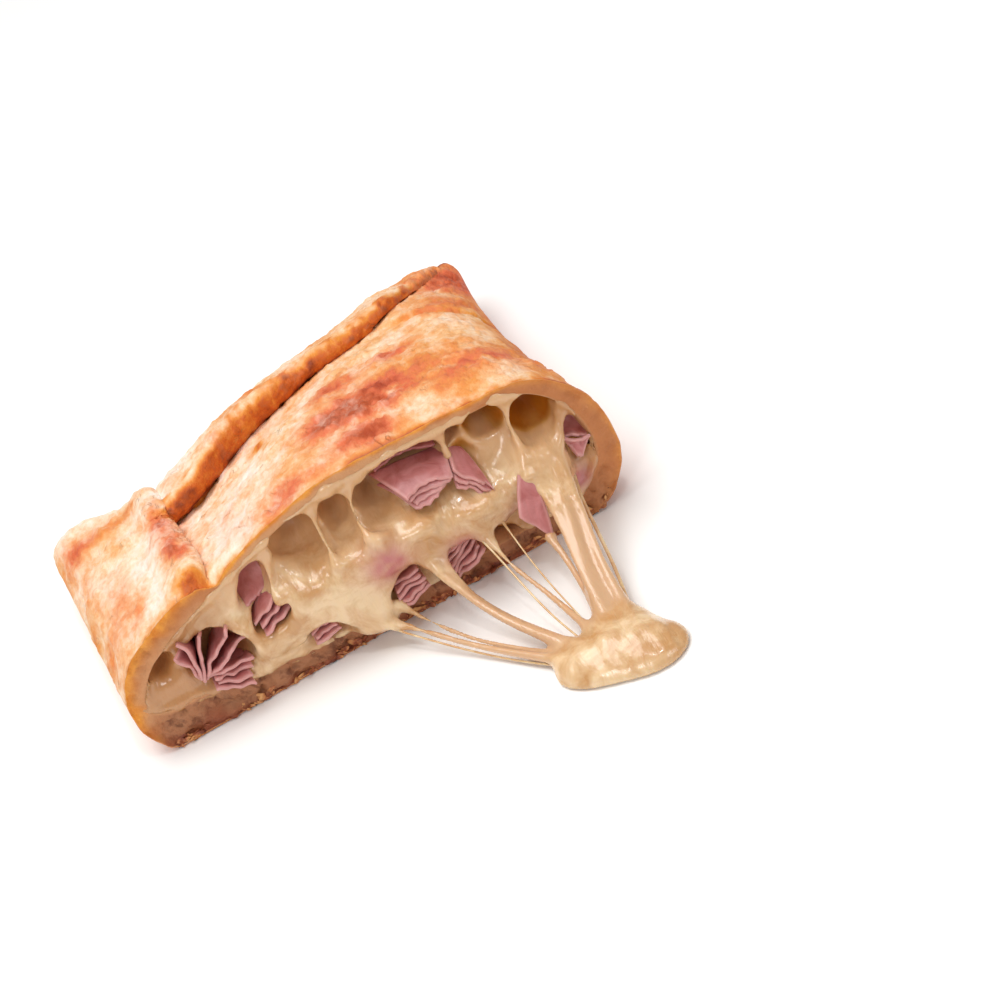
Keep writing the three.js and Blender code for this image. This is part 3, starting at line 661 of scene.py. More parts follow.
def planInverse(x, y):
    # where a point is in the plan, found in ten turns
    u, v = x / cutLength, y / dough["leftDepth"]
    h = 1e-3
    for turn in range(10):
        here = planPoint(u, v)
        alongU, alongV = (planPoint(u + h, v) - here) / h, (planPoint(u, v + h) - here) / h
        missX, missY = x - here[..., 0], y - here[..., 1]
        area = alongU[..., 0] * alongV[..., 1] - alongU[..., 1] * alongV[..., 0]
        u = np.clip(u + (missX * alongV[..., 1] - missY * alongV[..., 0]) / area, -0.1, 1.1)
        v = np.clip(v + (missY * alongU[..., 0] - missX * alongU[..., 1]) / area, -1.2, 1.1)
    return u, v


# Fields are mm from a surface, about, and less than 0 inside
def ellipsoidField(x, y, z, at, radii, lean=0):
    c, s = np.cos(np.radians(lean)), np.sin(np.radians(lean))
    dx, dy, dz = x - at[0], y - at[1], z - at[2]
    reach = ((dx * c - dz * s) / radii[0]) ** 2 + (dy / radii[1]) ** 2 + ((dx * s + dz * c) / radii[2]) ** 2
    return (np.sqrt(reach) - 1) * min(radii)


def stringField(x, y, z, points, radii):
    field = np.inf
    for a, b, ra, rb in zip(points, points[1:], radii, radii[1:]):
        way = b - a
        t = ((x - a[0]) * way[0] + (y - a[1]) * way[1] + (z - a[2]) * way[2]) / (way @ way)
        t = np.clip(t, 0, 1)
        away = (x - a[0] - t * way[0]) ** 2 + (y - a[1] - t * way[1]) ** 2 + (z - a[2] - t * way[2]) ** 2
        field = np.minimum(field, np.sqrt(away) - lerp(ra, rb, t))
    return field


def strandsField(x, y, z, strands):
    field = None
    for points, radii in strands:
        one = stringField(x, y, z, points, radii)
        field = one if field is None else softMin(field, one, melt["strandSoft"])
    return field


def curvePoints(path, count):
    # a smooth curve through the path's points
    path = np.array(path, float)
    padded = np.concatenate([[2 * path[0] - path[1]], path, [2 * path[-1] - path[-2]]])
    places = np.linspace(0, len(path) - 1, count)
    k = np.minimum(places.astype(int), len(path) - 2)
    t = (places - k)[:, None]
    a, b, c, d = (padded[k + n] for n in range(4))
    square, cube = 2 * a - 5 * b + 4 * c - d, 3 * b - a - 3 * c + d
    return 0.5 * (2 * b + (c - a) * t + square * t ** 2 + cube * t ** 3)


def settled(field):
    # no side of a cell keeps inside and outside crosswise, so just two faces of the skin meet at an edge
    crossed = True
    while crossed:
        crossed = False
        for n in range(3):
            turned = np.moveaxis(field, n, 0)
            corners = (turned[:, :-1, :-1], turned[:, 1:, :-1], turned[:, 1:, 1:], turned[:, :-1, 1:])
            a, b, c, d = (corner < 0 for corner in corners)
            cross = (a == c) & (b == d) & (a != b)
            for corner in corners:
                corner[cross] = np.minimum(corner[cross], -1e-3)
            crossed = crossed or cross.any()
    return field


def largestBody(points, faces):
    # points that faces join get the lowest of their numbers as a label
    labels = np.arange(len(points))
    while True:
        lower = labels.copy()
        np.minimum.at(lower, faces.ravel(), np.repeat(labels[faces].min(1), 4))
        lower = lower[lower]
        if (lower == labels).all():
            break
        labels = lower
    keep = labels == np.bincount(labels).argmax()
    return points[keep], (np.cumsum(keep) - 1)[faces[keep[faces[:, 0]]]]


def skinOf(field, axes):
    # a closed skin of four-sided faces where the field passes zero, with one point in each crossed cell
    inside = field < 0
    shape = [n - 1 for n in field.shape]
    corners = [(i, j, k) for i in (0, 1) for j in (0, 1) for k in (0, 1)]
    count = sum(inside[i:i + shape[0], j:j + shape[1], k:k + shape[2]].astype(np.int8) for i, j, k in corners)
    cells = np.argwhere((count > 0) & (count < 8))
    values = {c: field[tuple((cells + c).T)] for c in corners}
    spots = {c: np.stack([axis[cells[:, n] + c[n]] for n, axis in enumerate(axes)], -1) for c in corners}
    total, hits = np.zeros((len(cells), 3)), np.zeros((len(cells), 1))
    for a in corners:
        for n in range(3):
            if a[n]:
                continue
            b = tuple(a[m] + (m == n) for m in range(3))
            crossing = (values[a] < 0) != (values[b] < 0)
            t = values[a] / np.where(crossing, values[a] - values[b], 1)
            total += np.where(crossing[:, None], spots[a] + (spots[b] - spots[a]) * t[:, None], 0)
            hits += crossing[:, None]
    number = np.full(shape, -1)
    number[tuple(cells.T)] = np.arange(len(cells))
    faces = []
    for n in range(3):
        p, q = (n + 1) % 3, (n + 2) % 3
        before, after = (np.take(inside, range(k, field.shape[n] - 1 + k), n) for k in (0, 1))
        edges = np.argwhere(before != after)
        atP, atQ = edges[:, p], edges[:, q]
        edges = edges[(atP > 0) & (atQ > 0) & (atP < shape[p]) & (atQ < shape[q])]
        ring = []
        for stepP, stepQ in ((-1, -1), (0, -1), (0, 0), (-1, 0)):
            cell = edges.copy()
            cell[:, p] += stepP
            cell[:, q] += stepQ
            ring.append(number[tuple(cell.T)])
        ring = np.stack(ring, -1)
        inward = ~before[tuple(edges.T)]
        ring[inward] = ring[inward][:, ::-1]
        faces.append(ring)
    return total / hits, np.concatenate(faces)


def summed(keys, values, count):
    return np.stack([np.bincount(keys, values[:, n], count) for n in range(3)], -1)


def relaxed(points, faces):
    # evens the points out without making thin strings thinner
    pairs = np.concatenate([faces[:, [k, (k + 1) % 4]] for k in range(4)])
    number = np.bincount(pairs[:, 0], minlength=len(points))[:, None]
    for amount in (0.5, -0.52) * melt["turns"]:
        total = summed(pairs[:, 0], points[pairs[:, 1]], len(points))
        points = points + amount * (total / number - points)
    return points


def skinNormals(points, faces):
    across = np.cross(points[faces[:, 2]] - points[faces[:, 0]], points[faces[:, 3]] - points[faces[:, 1]])
    total = sum(summed(faces[:, k], across, len(points)) for k in range(4))
    return total / np.maximum(1e-9, np.linalg.norm(total, axis=-1, keepdims=True))


def fillingSpace(xs, ys, zs):
    # the field of the space inside the dough
    x, y = np.meshgrid(xs, ys, indexing="ij")
    u, v = planInverse(x, y)
    left = x - planPoint(0 * u + fillingEnds[0], v)[..., 0]
    right = planPoint(0 * u + fillingEnds[1], v)[..., 0] - x
    back = planPoint(u, 0 * v + fillingEnds[2])[..., 1] - y
    within = np.minimum(np.minimum(left, right), back) - melt["clearance"]
    rises = [quarterRound(left / a) * quarterRound(right / b) * quarterRound(back / c)
             for a, b, c in (dough["roofRound"], dough["floorRound"])]
    roof, floor = fillingHeights(u, v, *rises)
    space = np.maximum(zs - roof[..., None], floor[..., None] - zs) + melt["clearance"]
    return np.maximum(space, -within[..., None]).astype(np.float32)


def plainCheese(xs, ys, zs, space):
    # the cheese's face sinks in behind the cut, and at its margin a film creeps out over the dough
    wander = grain(np.stack([xs, 0 * xs, 0 * xs + ys[0]], -1)[:, None], 7, 2, 21)
    margin = np.stack(np.meshgrid(xs, [0], zs, indexing="ij"), -1)
    roofDough = lerp(*dough["roof"], smooth(0.1, 0.35, xs / cutLength))[:, None, None]
    reach = lerp(melt["filmWidth"], roofDough, smooth(11, 16, zs))
    creep = np.clip(0.6 + 0.4 * grain(margin, 5, 2, 23), 0.25, 0.85) * reach
    depth = ys[None, :, None]
    sunk = (melt["front"] + 0.4 * wander)[..., None]
    face = lerp(sunk, melt["filmFront"], smooth(-2.2, 0, space)) + 0.8 * np.clip(space / creep, 0, 1) ** 2
    return np.maximum(space - creep * (1 - smooth(0.6, 0.9, depth)), face - depth).astype(np.float32)


def blendIn(field, axes, around, margin, soft, shape, *facts, carve=False):
    # joins a shape to the field or carves it out, within a box round some points
    box = zip(axes, np.min(around, 0) - margin, np.max(around, 0) + margin)
    part = tuple(slice(*np.searchsorted(axis, (low, high))) for axis, low, high in box)
    spots = np.meshgrid(*(axis[p] for axis, p in zip(axes, part)), indexing="ij", sparse=True)
    made = shape(*spots, *facts)
    field[part] = -softMin(-field[part], made, soft[part[2]]) if carve else softMin(field[part], made, soft)


def cheeseField(axes):
    xs, ys, zs = axes
    space = fillingSpace(*axes)
    field = plainCheese(*axes, space)
    for at, radii in melt["lobes"]:
        soft = min(melt["lobeSoft"], 1.2 * min(radii))
        blendIn(field, axes, [at], np.array(radii) + 5, soft, ellipsoidField, at, radii)
    for at, radii, lean in melt["bubbles"]:
        # a bubble has sharp upper edges and a floor that runs out softly
        soft = lerp(*melt["bubbleSoft"], smooth(-0.9, 0.1, (zs - at[2]) / radii[2]))
        blendIn(field, axes, [at], max(radii) + 4, soft, ellipsoidField, at, radii, lean, carve=True)
    t = np.linspace(0, 1, melt["samples"])
    bow = np.sin(np.pi * t) ** 0.6
    for path, (root, waist, tip) in melt["ribs"]:
        points = curvePoints(path, len(t))
        radii = lerp(lerp(root, tip, t), waist, bow)
        blendIn(field, axes, points, 4, melt["ribSoft"], stringField, points, radii)
    for number, (path, spread, count, (root, waist, tip)) in enumerate(melt["strings"]):
        strands = []
        for strand in range(count):
            aside = strand / max(1, count - 1) - 0.5
            points = curvePoints(path, len(t))
            points[:, 0] += aside * lerp(*spread, t ** 0.7) + 0.2 * np.sin(5 * t + 2.1 * strand + number)
            points[:, 2] += (0.35 * np.sin(4 * t + 1.7 * strand + number) - 0.5 * aside) * bow
            strands.append((points, lerp(lerp(root, tip, t), waist, bow) * (1 - 0.25 * (strand % 2))))
        every = np.concatenate([points for points, radii in strands])
        blendIn(field, axes, every, 5, melt["stringSoft"], strandsField, strands)
    for at, radii in melt["runOff"]:
        blendIn(field, axes, [at], np.array(radii) + 4, melt["runOffSoft"], ellipsoidField, at, radii)
    # behind the cut the cheese fills its space, and it lies flat on the table
    field = np.where(ys[None, :, None] > 0.4, np.maximum(field, space), field)
    return np.maximum(field, melt["lift"] - zs[None, None, :])


def cheeseMasks(points, normals):
    x, y, z = points.T
    # painted shade: bubbles are brown where they hang over, the right one down to its floor
    overhangShade = smooth(0, 5.5, y) * smooth(-1.1, 0.2, -normals[:, 2]) * lerp(0.16, 1, smooth(62, 80, x))
    deep = smooth(0.8, 4, y) * smooth(-1.3, -0.8, -normals[:, 2])
    atEnds = np.maximum(0.9 * (1 - smooth(12, 27, x)), 0.8 * smooth(91, 95, x))
    pinkness = 1.1 + 0.6 * grain(points, 3, 2, 23)
    spots = [np.exp(-((points - at) ** 2).sum(-1) / reach ** 2) for at, reach in melt["pink"]]
    return {
        "bubbleShade": lerp(overhangShade, 0.68 * deep, smooth(80, 85, x)),
        "thread": (1 - smooth(-14, -7, y)) * smooth(-36, -30, y),
        "tanned": atEnds * smooth(-8, -2, y),
        "pink": sum(pinkness * spot for spot in spots),
        "golden": np.clip(smooth(19, 27, z) + 0.7 * smooth(78, 92, x), 0, 1) * smooth(-9, -4, y),
    }


def buildCheese():
    step = melt["step"]
    xs, ys, zs = (np.arange(*melt[key], step) for key in "xyz")
    toBack = melt["y"][1] + np.cumsum(np.geomspace(step, melt["backStep"], melt["backRows"]))
    axes = (xs, np.concatenate([ys, toBack]), zs)
    points, faces = largestBody(*skinOf(settled(cheeseField(axes)), axes))
    points = relaxed(points, faces)
    normals = skinNormals(points, faces)
    # lumps and drawn ridges on what shows, low waves on the run-off
    y, z = points[:, 1], points[:, 2]
    drawn = points * np.array((1, 0.35, 0.5))
    swell = 0.5 * grain(points, 6, 2, 22) + 0.3 * grain(drawn, 2.4, 2, 24)
    swell = swell * (1 - smooth(2, 6, y)) * smooth(-16, -8, y)
    swell += 0.35 * grain(drawn, 3, 2, 25) * (1 - smooth(-34, -30, y)) * smooth(0.3, 1, z)
    points = points + normals * swell[:, None]
    points[:, 2] = np.maximum(points[:, 2], melt["lift"])
    masks = cheeseMasks(points, normals)
    addPiece("cheese_melt", "cheese", points, faces.tolist(), meltedCheese, masks)


buildCheese()
print("cheese built")


def newGroup(name, **sockets):
    tree = bpy.data.node_groups.new(name, "GeometryNodeTree")
    for socket, kind in {"Geometry": "Geometry", **sockets, "Material": "Material"}.items():
        tree.interface.new_socket(socket, in_out="INPUT", socket_type="NodeSocket" + kind)
    tree.interface.new_socket("Geometry", in_out="OUTPUT", socket_type="NodeSocketGeometry")
    return tree, addNode(tree, "NodeGroupInput").outputs


def endGroup(tree, shape, given):
    inputs = {"Geometry": shape.outputs[0], "Material": given["Material"]}
    painted = addNode(tree, "GeometryNodeSetMaterial", inputs)
    addNode(tree, "NodeGroupOutput", {"Geometry": painted.outputs[0]})
    return tree


def grown(name, node, points, edges, tree, inputs, masks):
    # makes a plain piece from loose points or edges through a tree of geometry nodes
    mesh = newMesh(name, points, edges, [], masks)
    piece = linked(name, mesh)
    modifier = piece.modifiers.new(name, "NODES")
    modifier.node_group = tree
    for socket in tree.interface.items_tree:
        if socket.in_out == "INPUT" and socket.name in inputs:
            modifier[socket.identifier] = inputs[socket.name]
    result = bpy.data.meshes.new_from_object(piece.evaluated_get(bpy.context.evaluated_depsgraph_get()))
    for vertex in result.vertices:
        vertex.co.z = max(vertex.co.z, 0)
    piece.modifiers.remove(modifier)
    piece.data = result
    result.name = name
    bpy.data.meshes.remove(mesh)
    declare(piece, node)


# Thin threads of cheese beside the strings. Each runs between two points in mm, with a radius at its waist.
threads = {
    "count": 26, "sides": 10, "flare": 2.2, "sag": 1.4, "drop": 1.6, "sway": 0.35,
    "runs": (
        ((46, -2.6, 6), (73.4, -37, 1.2), 0.2), ((70.4, -3.2, 12.8), (78.4, -38, 2), 0.2),
        ((75.8, -3, 12.2), (80, -38, 2.4), 0.16), ((91.2, -1.4, 11), (86, -41, 2.4), 0.34),
    ),
}


def drawnTubes():
    tree, given = newGroup("cheese_thread_tubes", Thickness="Float", Sides="Int")
    curve = addNode(tree, "GeometryNodeMeshToCurve", {"Mesh": given["Geometry"]})
    waist = addNode(tree, "GeometryNodeInputNamedAttribute", {"Name": "waist"}, data_type="FLOAT")
    thick = joined("MULTIPLY", waist.outputs["Attribute"], given["Thickness"])
    ring = addNode(tree, "GeometryNodeCurvePrimitiveCircle", {"Radius": 1, "Resolution": given["Sides"]})
    inputs = {"Curve": curve.outputs[0], "Profile Curve": ring.outputs[0], "Scale": thick, "Fill Caps": True}
    tube = addNode(tree, "GeometryNodeCurveToMesh", inputs)
    return endGroup(tree, addNode(tree, "GeometryNodeRealizeInstances", {"Geometry": tube.outputs[0]}), given)


def buildThreads():
    count = threads["count"]
    t = np.linspace(0, 1, count)
    bow = np.sin(np.pi * t)
    points, waists, edges = [], [], []
    for number, (start, end, radius) in enumerate(threads["runs"]):
        path = lerp(np.array(start), np.array(end), t[:, None])
        path[:, 2] -= threads["sag"] * bow * (0.6 + 0.5 * np.sin(number * 2.7)) + threads["drop"] * bow
        path[:, 0] += threads["sway"] * bow * np.sin(4 * t + number * 1.9)
        edges += [(number * count + k, number * count + k + 1) for k in range(count - 1)]
        points.append(path)
        waists.append(radius * lerp(threads["flare"], 1, np.clip(bow * 3, 0, 1)) / mmPerMetre)
    inputs = {"Thickness": 1.0, "Sides": threads["sides"], "Material": meltedCheese}
    masks = {"waist": np.concatenate(waists)}
    grown("cheese_threads", "cheese", np.concatenate(points), edges, drawnTubes(), inputs, masks)


buildThreads()
print("threads drawn")

# Ham leaves: half their thickness in mm, and how they curl, crumple and spread
leafLook = {"half": 0.36, "fanCrumple": 1.1, "stackCurl": 0.7, "stackCrumple": 0.4, "stackSpread": 9}


def edgeSamples(count):
    # shares across a slice, close together at its edges
    return np.concatenate([[0, 0.008, 0.025], np.linspace(0.06, 0.94, count), [0.975, 0.992, 1]])


def thickSheet(grid):
    # both faces of a slice with a rounded edge all round
    normals = gridNormals(grid)
    fromEdge = np.full(grid.shape[:2], np.inf)
    for axis in (0, 1):
        steps = np.linalg.norm(np.diff(grid, axis=axis), axis=-1)
        run = np.concatenate([np.zeros_like(np.take(steps, [0], axis)), np.cumsum(steps, axis)], axis)
        fromEdge = np.minimum(fromEdge, np.minimum(run, np.take(run, [-1], axis) - run))
    half = (leafLook["half"] * quarterRound(fromEdge / leafLook["half"]))[..., None]
    points, fine, under = sewn(grid + normals * half, grid - normals * half, 1, slice(1, -1))
    corners = ((0, 0), (0, -1), (-1, 0), (-1, -1))
    near = np.concatenate([fromEdge.ravel(), fromEdge[1:-1, 1:-1].ravel()])
    return points, gridFaces(fine, False, *corners) + gridFaces(under, True, *corners), near


def edgeOnLeaf(root, angle, length, depth, curl, sweep, crumple, seed):
    # a leaf that runs into the filling and shows its front edge, turned and swept aside on its way in
    r, w = edgeSamples(16)[None, :], edgeSamples(12)[:, None]
    spots = np.stack([r * length + 0 * w, 0 * r + w * 3, 0 * r * w + seed * 7.3], -1)
    turned = np.radians(angle + 14 * np.sin(seed * 2.3) * w)
    aside = curl * r ** 2 + crumple * grain(spots, 4.5, 2, 31) - sweep * w * (0.4 + 0.6 * r)
    reach = length * r * lerp(1, 0.86, w)
    x = root[0] + reach * np.cos(turned) - aside * np.sin(turned)
    z = root[2] + reach * np.sin(turned) + aside * np.cos(turned)
    y = root[1] + lerp(-0.6, depth, w) - (1 - w) * (1.4 * grain(spots, 3.2, 2, 32) + 0.4)
    return np.stack([x, y, z], -1)


def fan(seed, at, depth, leaves):
    # leaves that spread from a root
    for leaf, (angle, length, sweep, curl) in enumerate(leaves):
        way = np.array((np.cos(np.radians(angle)), 0, np.sin(np.radians(angle))))
        root = np.array(at) + (0.9 + 0.6 * np.sin(leaf * 2.6)) * way
        yield edgeOnLeaf(root, angle, length, depth, curl, sweep, leafLook["fanCrumple"], seed + leaf)


def stack(seed, at, angle, leaves, length, pitch, depth):
    # leaves that lie side by side
    for leaf in range(leaves):
        turn = np.radians(angle + leafLook["stackSpread"] * (leaf / (leaves - 1) - 0.5))
        way, up = np.array((np.cos(turn), 0, np.sin(turn))), np.array((-np.sin(turn), 0, np.cos(turn)))
        run = length * (1 - 0.12 * (leaf % 2))
        root = np.array(at) - way * run / 2 + up * pitch * (leaf - (leaves - 1) / 2)
        root[1] -= 0.5 * (leaves - 1 - leaf)
        curl, crumple = leafLook["stackCurl"], leafLook["stackCrumple"]
        yield edgeOnLeaf(root, np.degrees(turn), run, depth, curl, 0, crumple, seed + leaf * 0.21)


def drape(seed, back, bend, front, leaves=1, kink=0, ragged=1, taper=1, dip=0):
    # leaves that come out of the filling and bend down, the lower ones trimmed and reaching out unevenly
    s, w = edgeSamples(30)[None, :, None], edgeSamples(20)[:, None, None]
    for leaf in range(leaves):
        trimmed = lerp(0.06 * leaf * abs(np.sin(leaf * 2.2)), 1 + 0.03 * leaf * np.cos(leaf * 1.4), s)
        rear, turn, fore = (lerp(np.array(a), np.array(b), trimmed) for a, b in (back, bend, front))
        rear = rear - np.array((0, 0, dip)) * np.sin(np.pi * s)
        spots = np.concatenate([trimmed * 16 + 0 * w, 0 * s + w * 4, 0 * s * w + seed * 5 + leaf * 1.7], -1)
        down = fore - turn
        down = down / np.linalg.norm(down, axis=-1, keepdims=True)
        torn = (0.9 * grain(spots, 4.5, 2, 34) + 0.25 * grain(spots, 1.6, 2, 35))[..., None] * w
        step = leaf * lerp(1, taper, s)
        fore = fore + down * (0.8 * step + kink * np.cos(trimmed * 6.3 + 0.6 + leaf) + torn * ragged)
        sheet = (1 - w) ** 2 * rear + 2 * w * (1 - w) * turn + w ** 2 * fore
        rise = gridNormals(sheet)
        rise *= np.sign(rise[..., 2:].mean())
        yield sheet - rise * (0.95 * step - 0.6 * grain(spots, 8, 2, 33)[..., None] * (0.3 + w))


# Ham slices in mm. A fan and a stack show their edges, with angles from the base line. A leaf of the fan has
# its angle, length, sweep and curl. A drape shows its face: left and right corner at back, bend and front.
slices = {
    "ham_left_fan": (
        (fan, dict(at=(14.8, -0.4, 10.8), depth=7, leaves=(
            (100, 7.6, 3.6, 0.8), (86, 9, 2.8, 1.6), (70, 9.8, -0.8, 0.3),
            (50, 10.6, 2.8, -1.3), (32, 10.8, 2.4, -2.2), (8, 8.6, 1.2, -1.6)))),
        (stack, dict(at=(19.6, -0.8, 8.4), angle=-24, leaves=3, length=7.4, pitch=1.1, depth=7)),
    ),
    "ham_left_roll": (
        (stack, dict(at=(31.6, 0, 16.6), angle=24, leaves=3, length=7.2, pitch=1.5, depth=8)),
        (drape, dict(back=((28, 6.5, 23.5), (33.6, 6.5, 26.5)), bend=((27.6, 6, 20.5), (34, 6, 23.6)),
                     front=((28, 2, 19), (34, 2, 20.4)), kink=0.3)),
    ),
    "ham_left_low": (
        (stack, dict(at=(38.4, -0.4, 8), angle=0, leaves=3, length=5.4, pitch=1, depth=9)),
    ),
    "ham_middle_fold": (
        (drape, dict(back=((58.9, 5, 29), (73.4, 5.5, 26.6)), bend=((60.4, 1, 28.8), (72.9, 1, 27)),
                     front=((62.4, -3, 26), (72.1, -2, 25)), leaves=4, kink=0.4, taper=0.45)),
        (drape, dict(back=((58.6, 9.5, 30.4), (72, 9.5, 29)), bend=((59.4, 7, 30.8), (72, 7, 29.4)),
                     front=((60, 4.4, 30), (72, 4.4, 28.6)), kink=0.4)),
    ),
    "ham_middle_side": (
        (drape, dict(back=((73.6, 3.5, 27.4), (75.8, 3, 25.6)), bend=((73, 0.4, 26.9), (77, -0.8, 23.4)),
                     front=((72.2, -2.4, 25.2), (77.6, -4.4, 19.2)), leaves=3, kink=-0.3)),
    ),
    "ham_low_left": (
        (stack, dict(at=(55.8, -1.8, 8.4), angle=6, leaves=5, length=6.4, pitch=0.85, depth=9)),
    ),
    "ham_low_middle": (
        (stack, dict(at=(67, -1.2, 8.8), angle=26, leaves=6, length=7.4, pitch=0.85, depth=10)),
    ),
    "ham_in_strand": (
        (drape, dict(back=((82.2, -4.4, 19.4), (84.6, -4.4, 18)), bend=((80.2, -6.4, 17), (84.6, -7.4, 14)),
                     front=((78.7, -7.6, 13.2), (82.6, -10.4, 7.4)), ragged=0.2)),
    ),
    "ham_right_end": (
        (drape, dict(back=((93, -0.5, 19), (97.6, -0.3, 16.4)), bend=((92.8, 1.6, 16.8), (97.6, 1.7, 15.2)),
                     front=((93.6, -1, 13.9), (94.6, -0.9, 13.5)), ragged=0.2, dip=0.9)),
        (drape, dict(back=((92.4, 4.6, 22.4), (97.2, 4.4, 20)), bend=((92.6, 4.8, 17.8), (97.6, 4.4, 15.4)),
                     front=((93, 0.6, 18), (97.4, 0.6, 15.8)), ragged=0.3)),
    ),
}


def buildHam(name, parts, seed):
    points, faces, near = [], [], []
    count = 0
    for kind, facts in parts:
        for sheet in kind(seed, **facts):
            made, sides, fromEdge = thickSheet(sheet)
            points.append(made)
            faces += [[k + count for k in face] for face in sides]
            near.append(fromEdge)
            count += len(made)
    points = np.concatenate(points)
    edge = (1 - smooth(0.25, 0.9, np.concatenate(near))) * (1 - smooth(0, 4, points[:, 1]))
    addPiece(name + "_slice", name, points, faces, slicedHam, {"sliceEdge": edge})


for number, (name, parts) in enumerate(slices.items()):
    buildHam(name, parts, 3 * number)
print("ham built")

# Toasted flakes that stand off the lower edge of the cut, in mm
flakes = {"count": 200, "length": 1.1, "width": 0.6, "thickness": 0.2, "x": (4, 97), "y": (-0.1, 0.5),
          "low": 0.1, "high": 1.8, "seed": 7, "scale": (0.4, 1.25), "turn": (0.9, 0.7, 0.9),
          "ripple": 1.4, "bend": 1.2}


# Toasted flakes: dry, dark red brown with golden edges
def flakeMaterial():
    material, tree, shader = newMaterial("toasted_flakes", {"Roughness": 0.6})
    patch = noiseOf(placeIn(tree), 2.2, 2)
    colours = rampOf(patch, (0.34, "#6b2d16"), (0.46, "#9c5230"), (0.56, "#c98450"), (0.68, "#dda468"))
    tree.links.new(colours, shader.inputs["Base Color"])
    return material


def scatteredFlakes():
    tree, given = newGroup("toasted_flake_scatter", Size="Vector", Seed="Int")
    dots = addNode(tree, "GeometryNodeMeshToPoints", {"Mesh": given["Geometry"]})
    ball = addNode(tree, "GeometryNodeMeshIcoSphere", {"Radius": 1, "Subdivisions": 2})
    flat = addNode(tree, "GeometryNodeTransform", {"Geometry": ball.outputs[0], "Scale": given["Size"]})
    inputs = {0: [-angle for angle in flakes["turn"]], 1: flakes["turn"], "Seed": given["Seed"]}
    turn = addNode(tree, "FunctionNodeRandomValue", inputs, data_type="FLOAT_VECTOR")
    inputs = {2: flakes["scale"][0], 3: flakes["scale"][1], "Seed": given["Seed"]}
    grow = addNode(tree, "FunctionNodeRandomValue", inputs, data_type="FLOAT")
    inputs = {"Points": dots.outputs[0], "Instance": flat.outputs[0],
              "Rotation": turn.outputs[0], "Scale": grow.outputs[1]}
    laid = addNode(tree, "GeometryNodeInstanceOnPoints", inputs)
    whole = addNode(tree, "GeometryNodeRealizeInstances", {"Geometry": laid.outputs[0]})
    ripple = addNode(tree, "ShaderNodeTexNoise", {"Scale": mmPerMetre / flakes["ripple"], "Detail": 1})
    inputs = {0: ripple.outputs["Color"], 1: (0.5, 0.5, 0.5)}
    centred = addNode(tree, "ShaderNodeVectorMath", inputs, operation="SUBTRACT")
    inputs = {0: centred.outputs[0], "Scale": flakes["bend"] / mmPerMetre}
    shift = addNode(tree, "ShaderNodeVectorMath", inputs, operation="SCALE")
    inputs = {"Geometry": whole.outputs[0], "Offset": shift.outputs[0]}
    return endGroup(tree, addNode(tree, "GeometryNodeSetPosition", inputs), given)


def buildFlakes():
    draw = np.random.default_rng(flakes["seed"])
    count = flakes["count"]
    x = draw.uniform(*flakes["x"], count)
    u = x / cutLength
    low = rimHeight(u, 0 * u) * (1 - rounding(u, 0 * u, doughEnds, dough["baseRound"]))
    z = low + flakes["low"] + (flakes["high"] - flakes["low"]) * draw.random(count) ** 2
    y = draw.uniform(*flakes["y"], count)
    size = [flakes[key] / mmPerMetre for key in ("length", "thickness", "width")]
    inputs = {"Size": size, "Seed": flakes["seed"], "Material": flakeMaterial()}
    grown("crust_flakes", "crust", np.stack([x, y, z], -1), [], scatteredFlakes(), inputs, {})


buildFlakes()
print("flakes scattered")

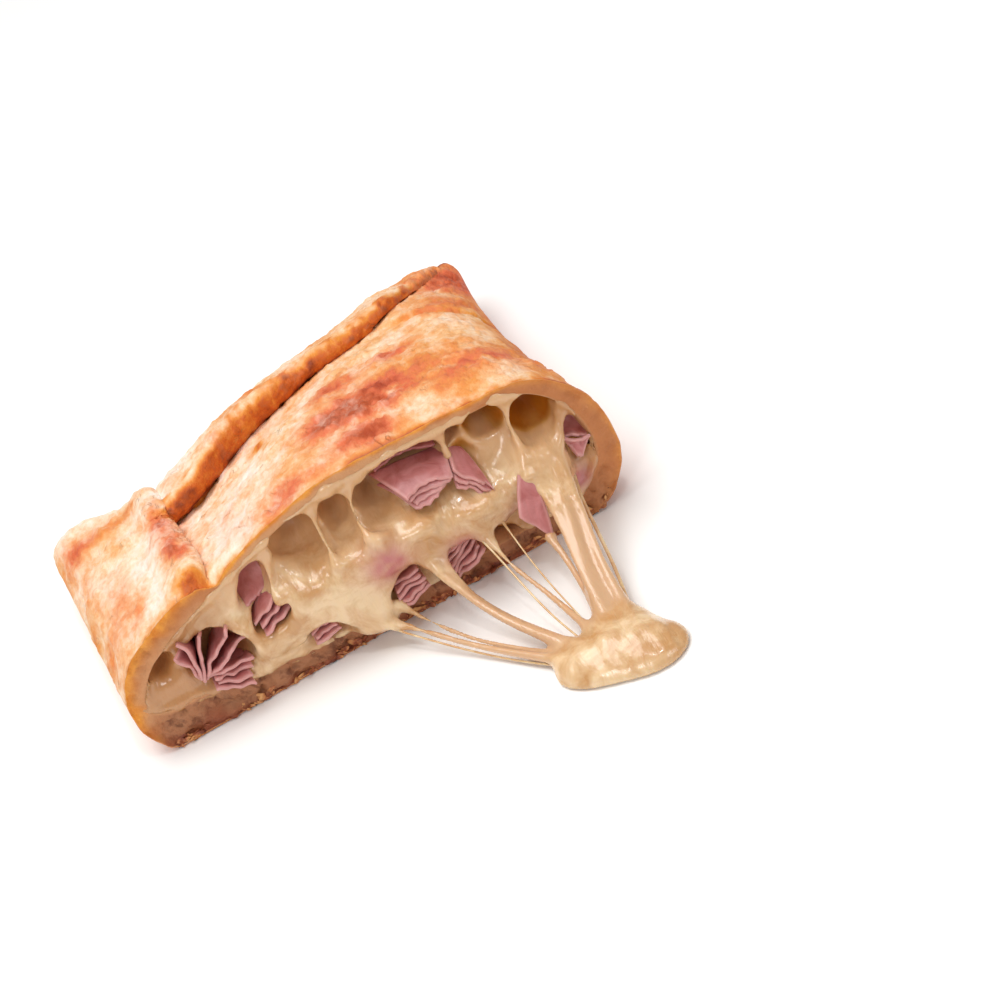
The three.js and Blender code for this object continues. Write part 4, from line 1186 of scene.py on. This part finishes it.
# White table, soft lights round it and a pale surround, in metres
tableReach, tableLevel = 2.0, -0.0003
table = bpy.data.meshes.new("white_table")
corners = [(x * tableReach, y * tableReach, tableLevel) for x, y in ((-1, -1), (1, -1), (1, 1), (-1, 1))]
table.from_pydata(corners, [], [(0, 1, 2, 3)])
card = {"Base Color": "#fdfcfa", "Roughness": 0.9, "Specular IOR Level": 0.1}
table.materials.append(newMaterial("white_card", card)[0])
tableObject = linked("white_table", table)

lightAim = Vector((0, 0, 0.015))
lights = {
    "top_softbox": {"from": (-0.1, 0.1, 0.75), "size": 0.6, "watts": 4.7},
    "front_left_softbox": {"from": (-0.35, -0.65, 0.55), "size": 0.25, "watts": 1.5},
    "front_right_fill": {"from": (0.5, -0.6, 0.4), "size": 0.25, "watts": 0.7},
    "glint": {"from": (0.12, -0.28, 0.7), "size": 0.04, "watts": 0.5},
}
for name, light in lights.items():
    lamp = bpy.data.lights.new(name, "AREA")
    lamp.size = light["size"]
    lamp.energy = light["watts"]
    lampObject = linked(name, lamp)
    lampObject.location = light["from"]
    lampObject.rotation_euler = (lightAim - Vector(light["from"])).to_track_quat("-Z", "Y").to_euler()
world = bpy.data.worlds.new("pale_surround")
world.use_nodes = True
for socket, value in {"Color": linear("#fbfbfb"), "Strength": 0.38}.items():
    world.node_tree.nodes["Background"].inputs[socket].default_value = value
scene.world = world

# Camera: aimed from the front and above, turned about its own axis so that the half leans as in the photo
shot = {"azimuth": -3, "elevation": 35, "roll": 27.6, "at": (58.9, -355.7, 262.8), "lens": 85.9, "sensor": 36}
azimuth, elevation, roll = (np.radians(shot[key]) for key in ("azimuth", "elevation", "roll"))
level = np.array((np.cos(azimuth), np.sin(azimuth), 0))
away = np.cos(elevation)
behind = np.array((np.sin(azimuth) * away, -np.cos(azimuth) * away, np.sin(elevation)))
upright = np.cross(behind, level)
sideways = np.cos(roll) * level - np.sin(roll) * upright
upwards = np.sin(roll) * level + np.cos(roll) * upright
camera = bpy.data.cameras.new("photo_camera")
camera.lens = shot["lens"]
camera.sensor_width = shot["sensor"]
cameraObject = linked("photo_camera", camera)
stand = (np.array(shot["at"]) + modelShift) / mmPerMetre
rows = np.column_stack([sideways, upwards, behind, stand]).tolist()
cameraObject.matrix_world = Matrix(rows + [[0, 0, 0, 1]])
scene.camera = cameraObject
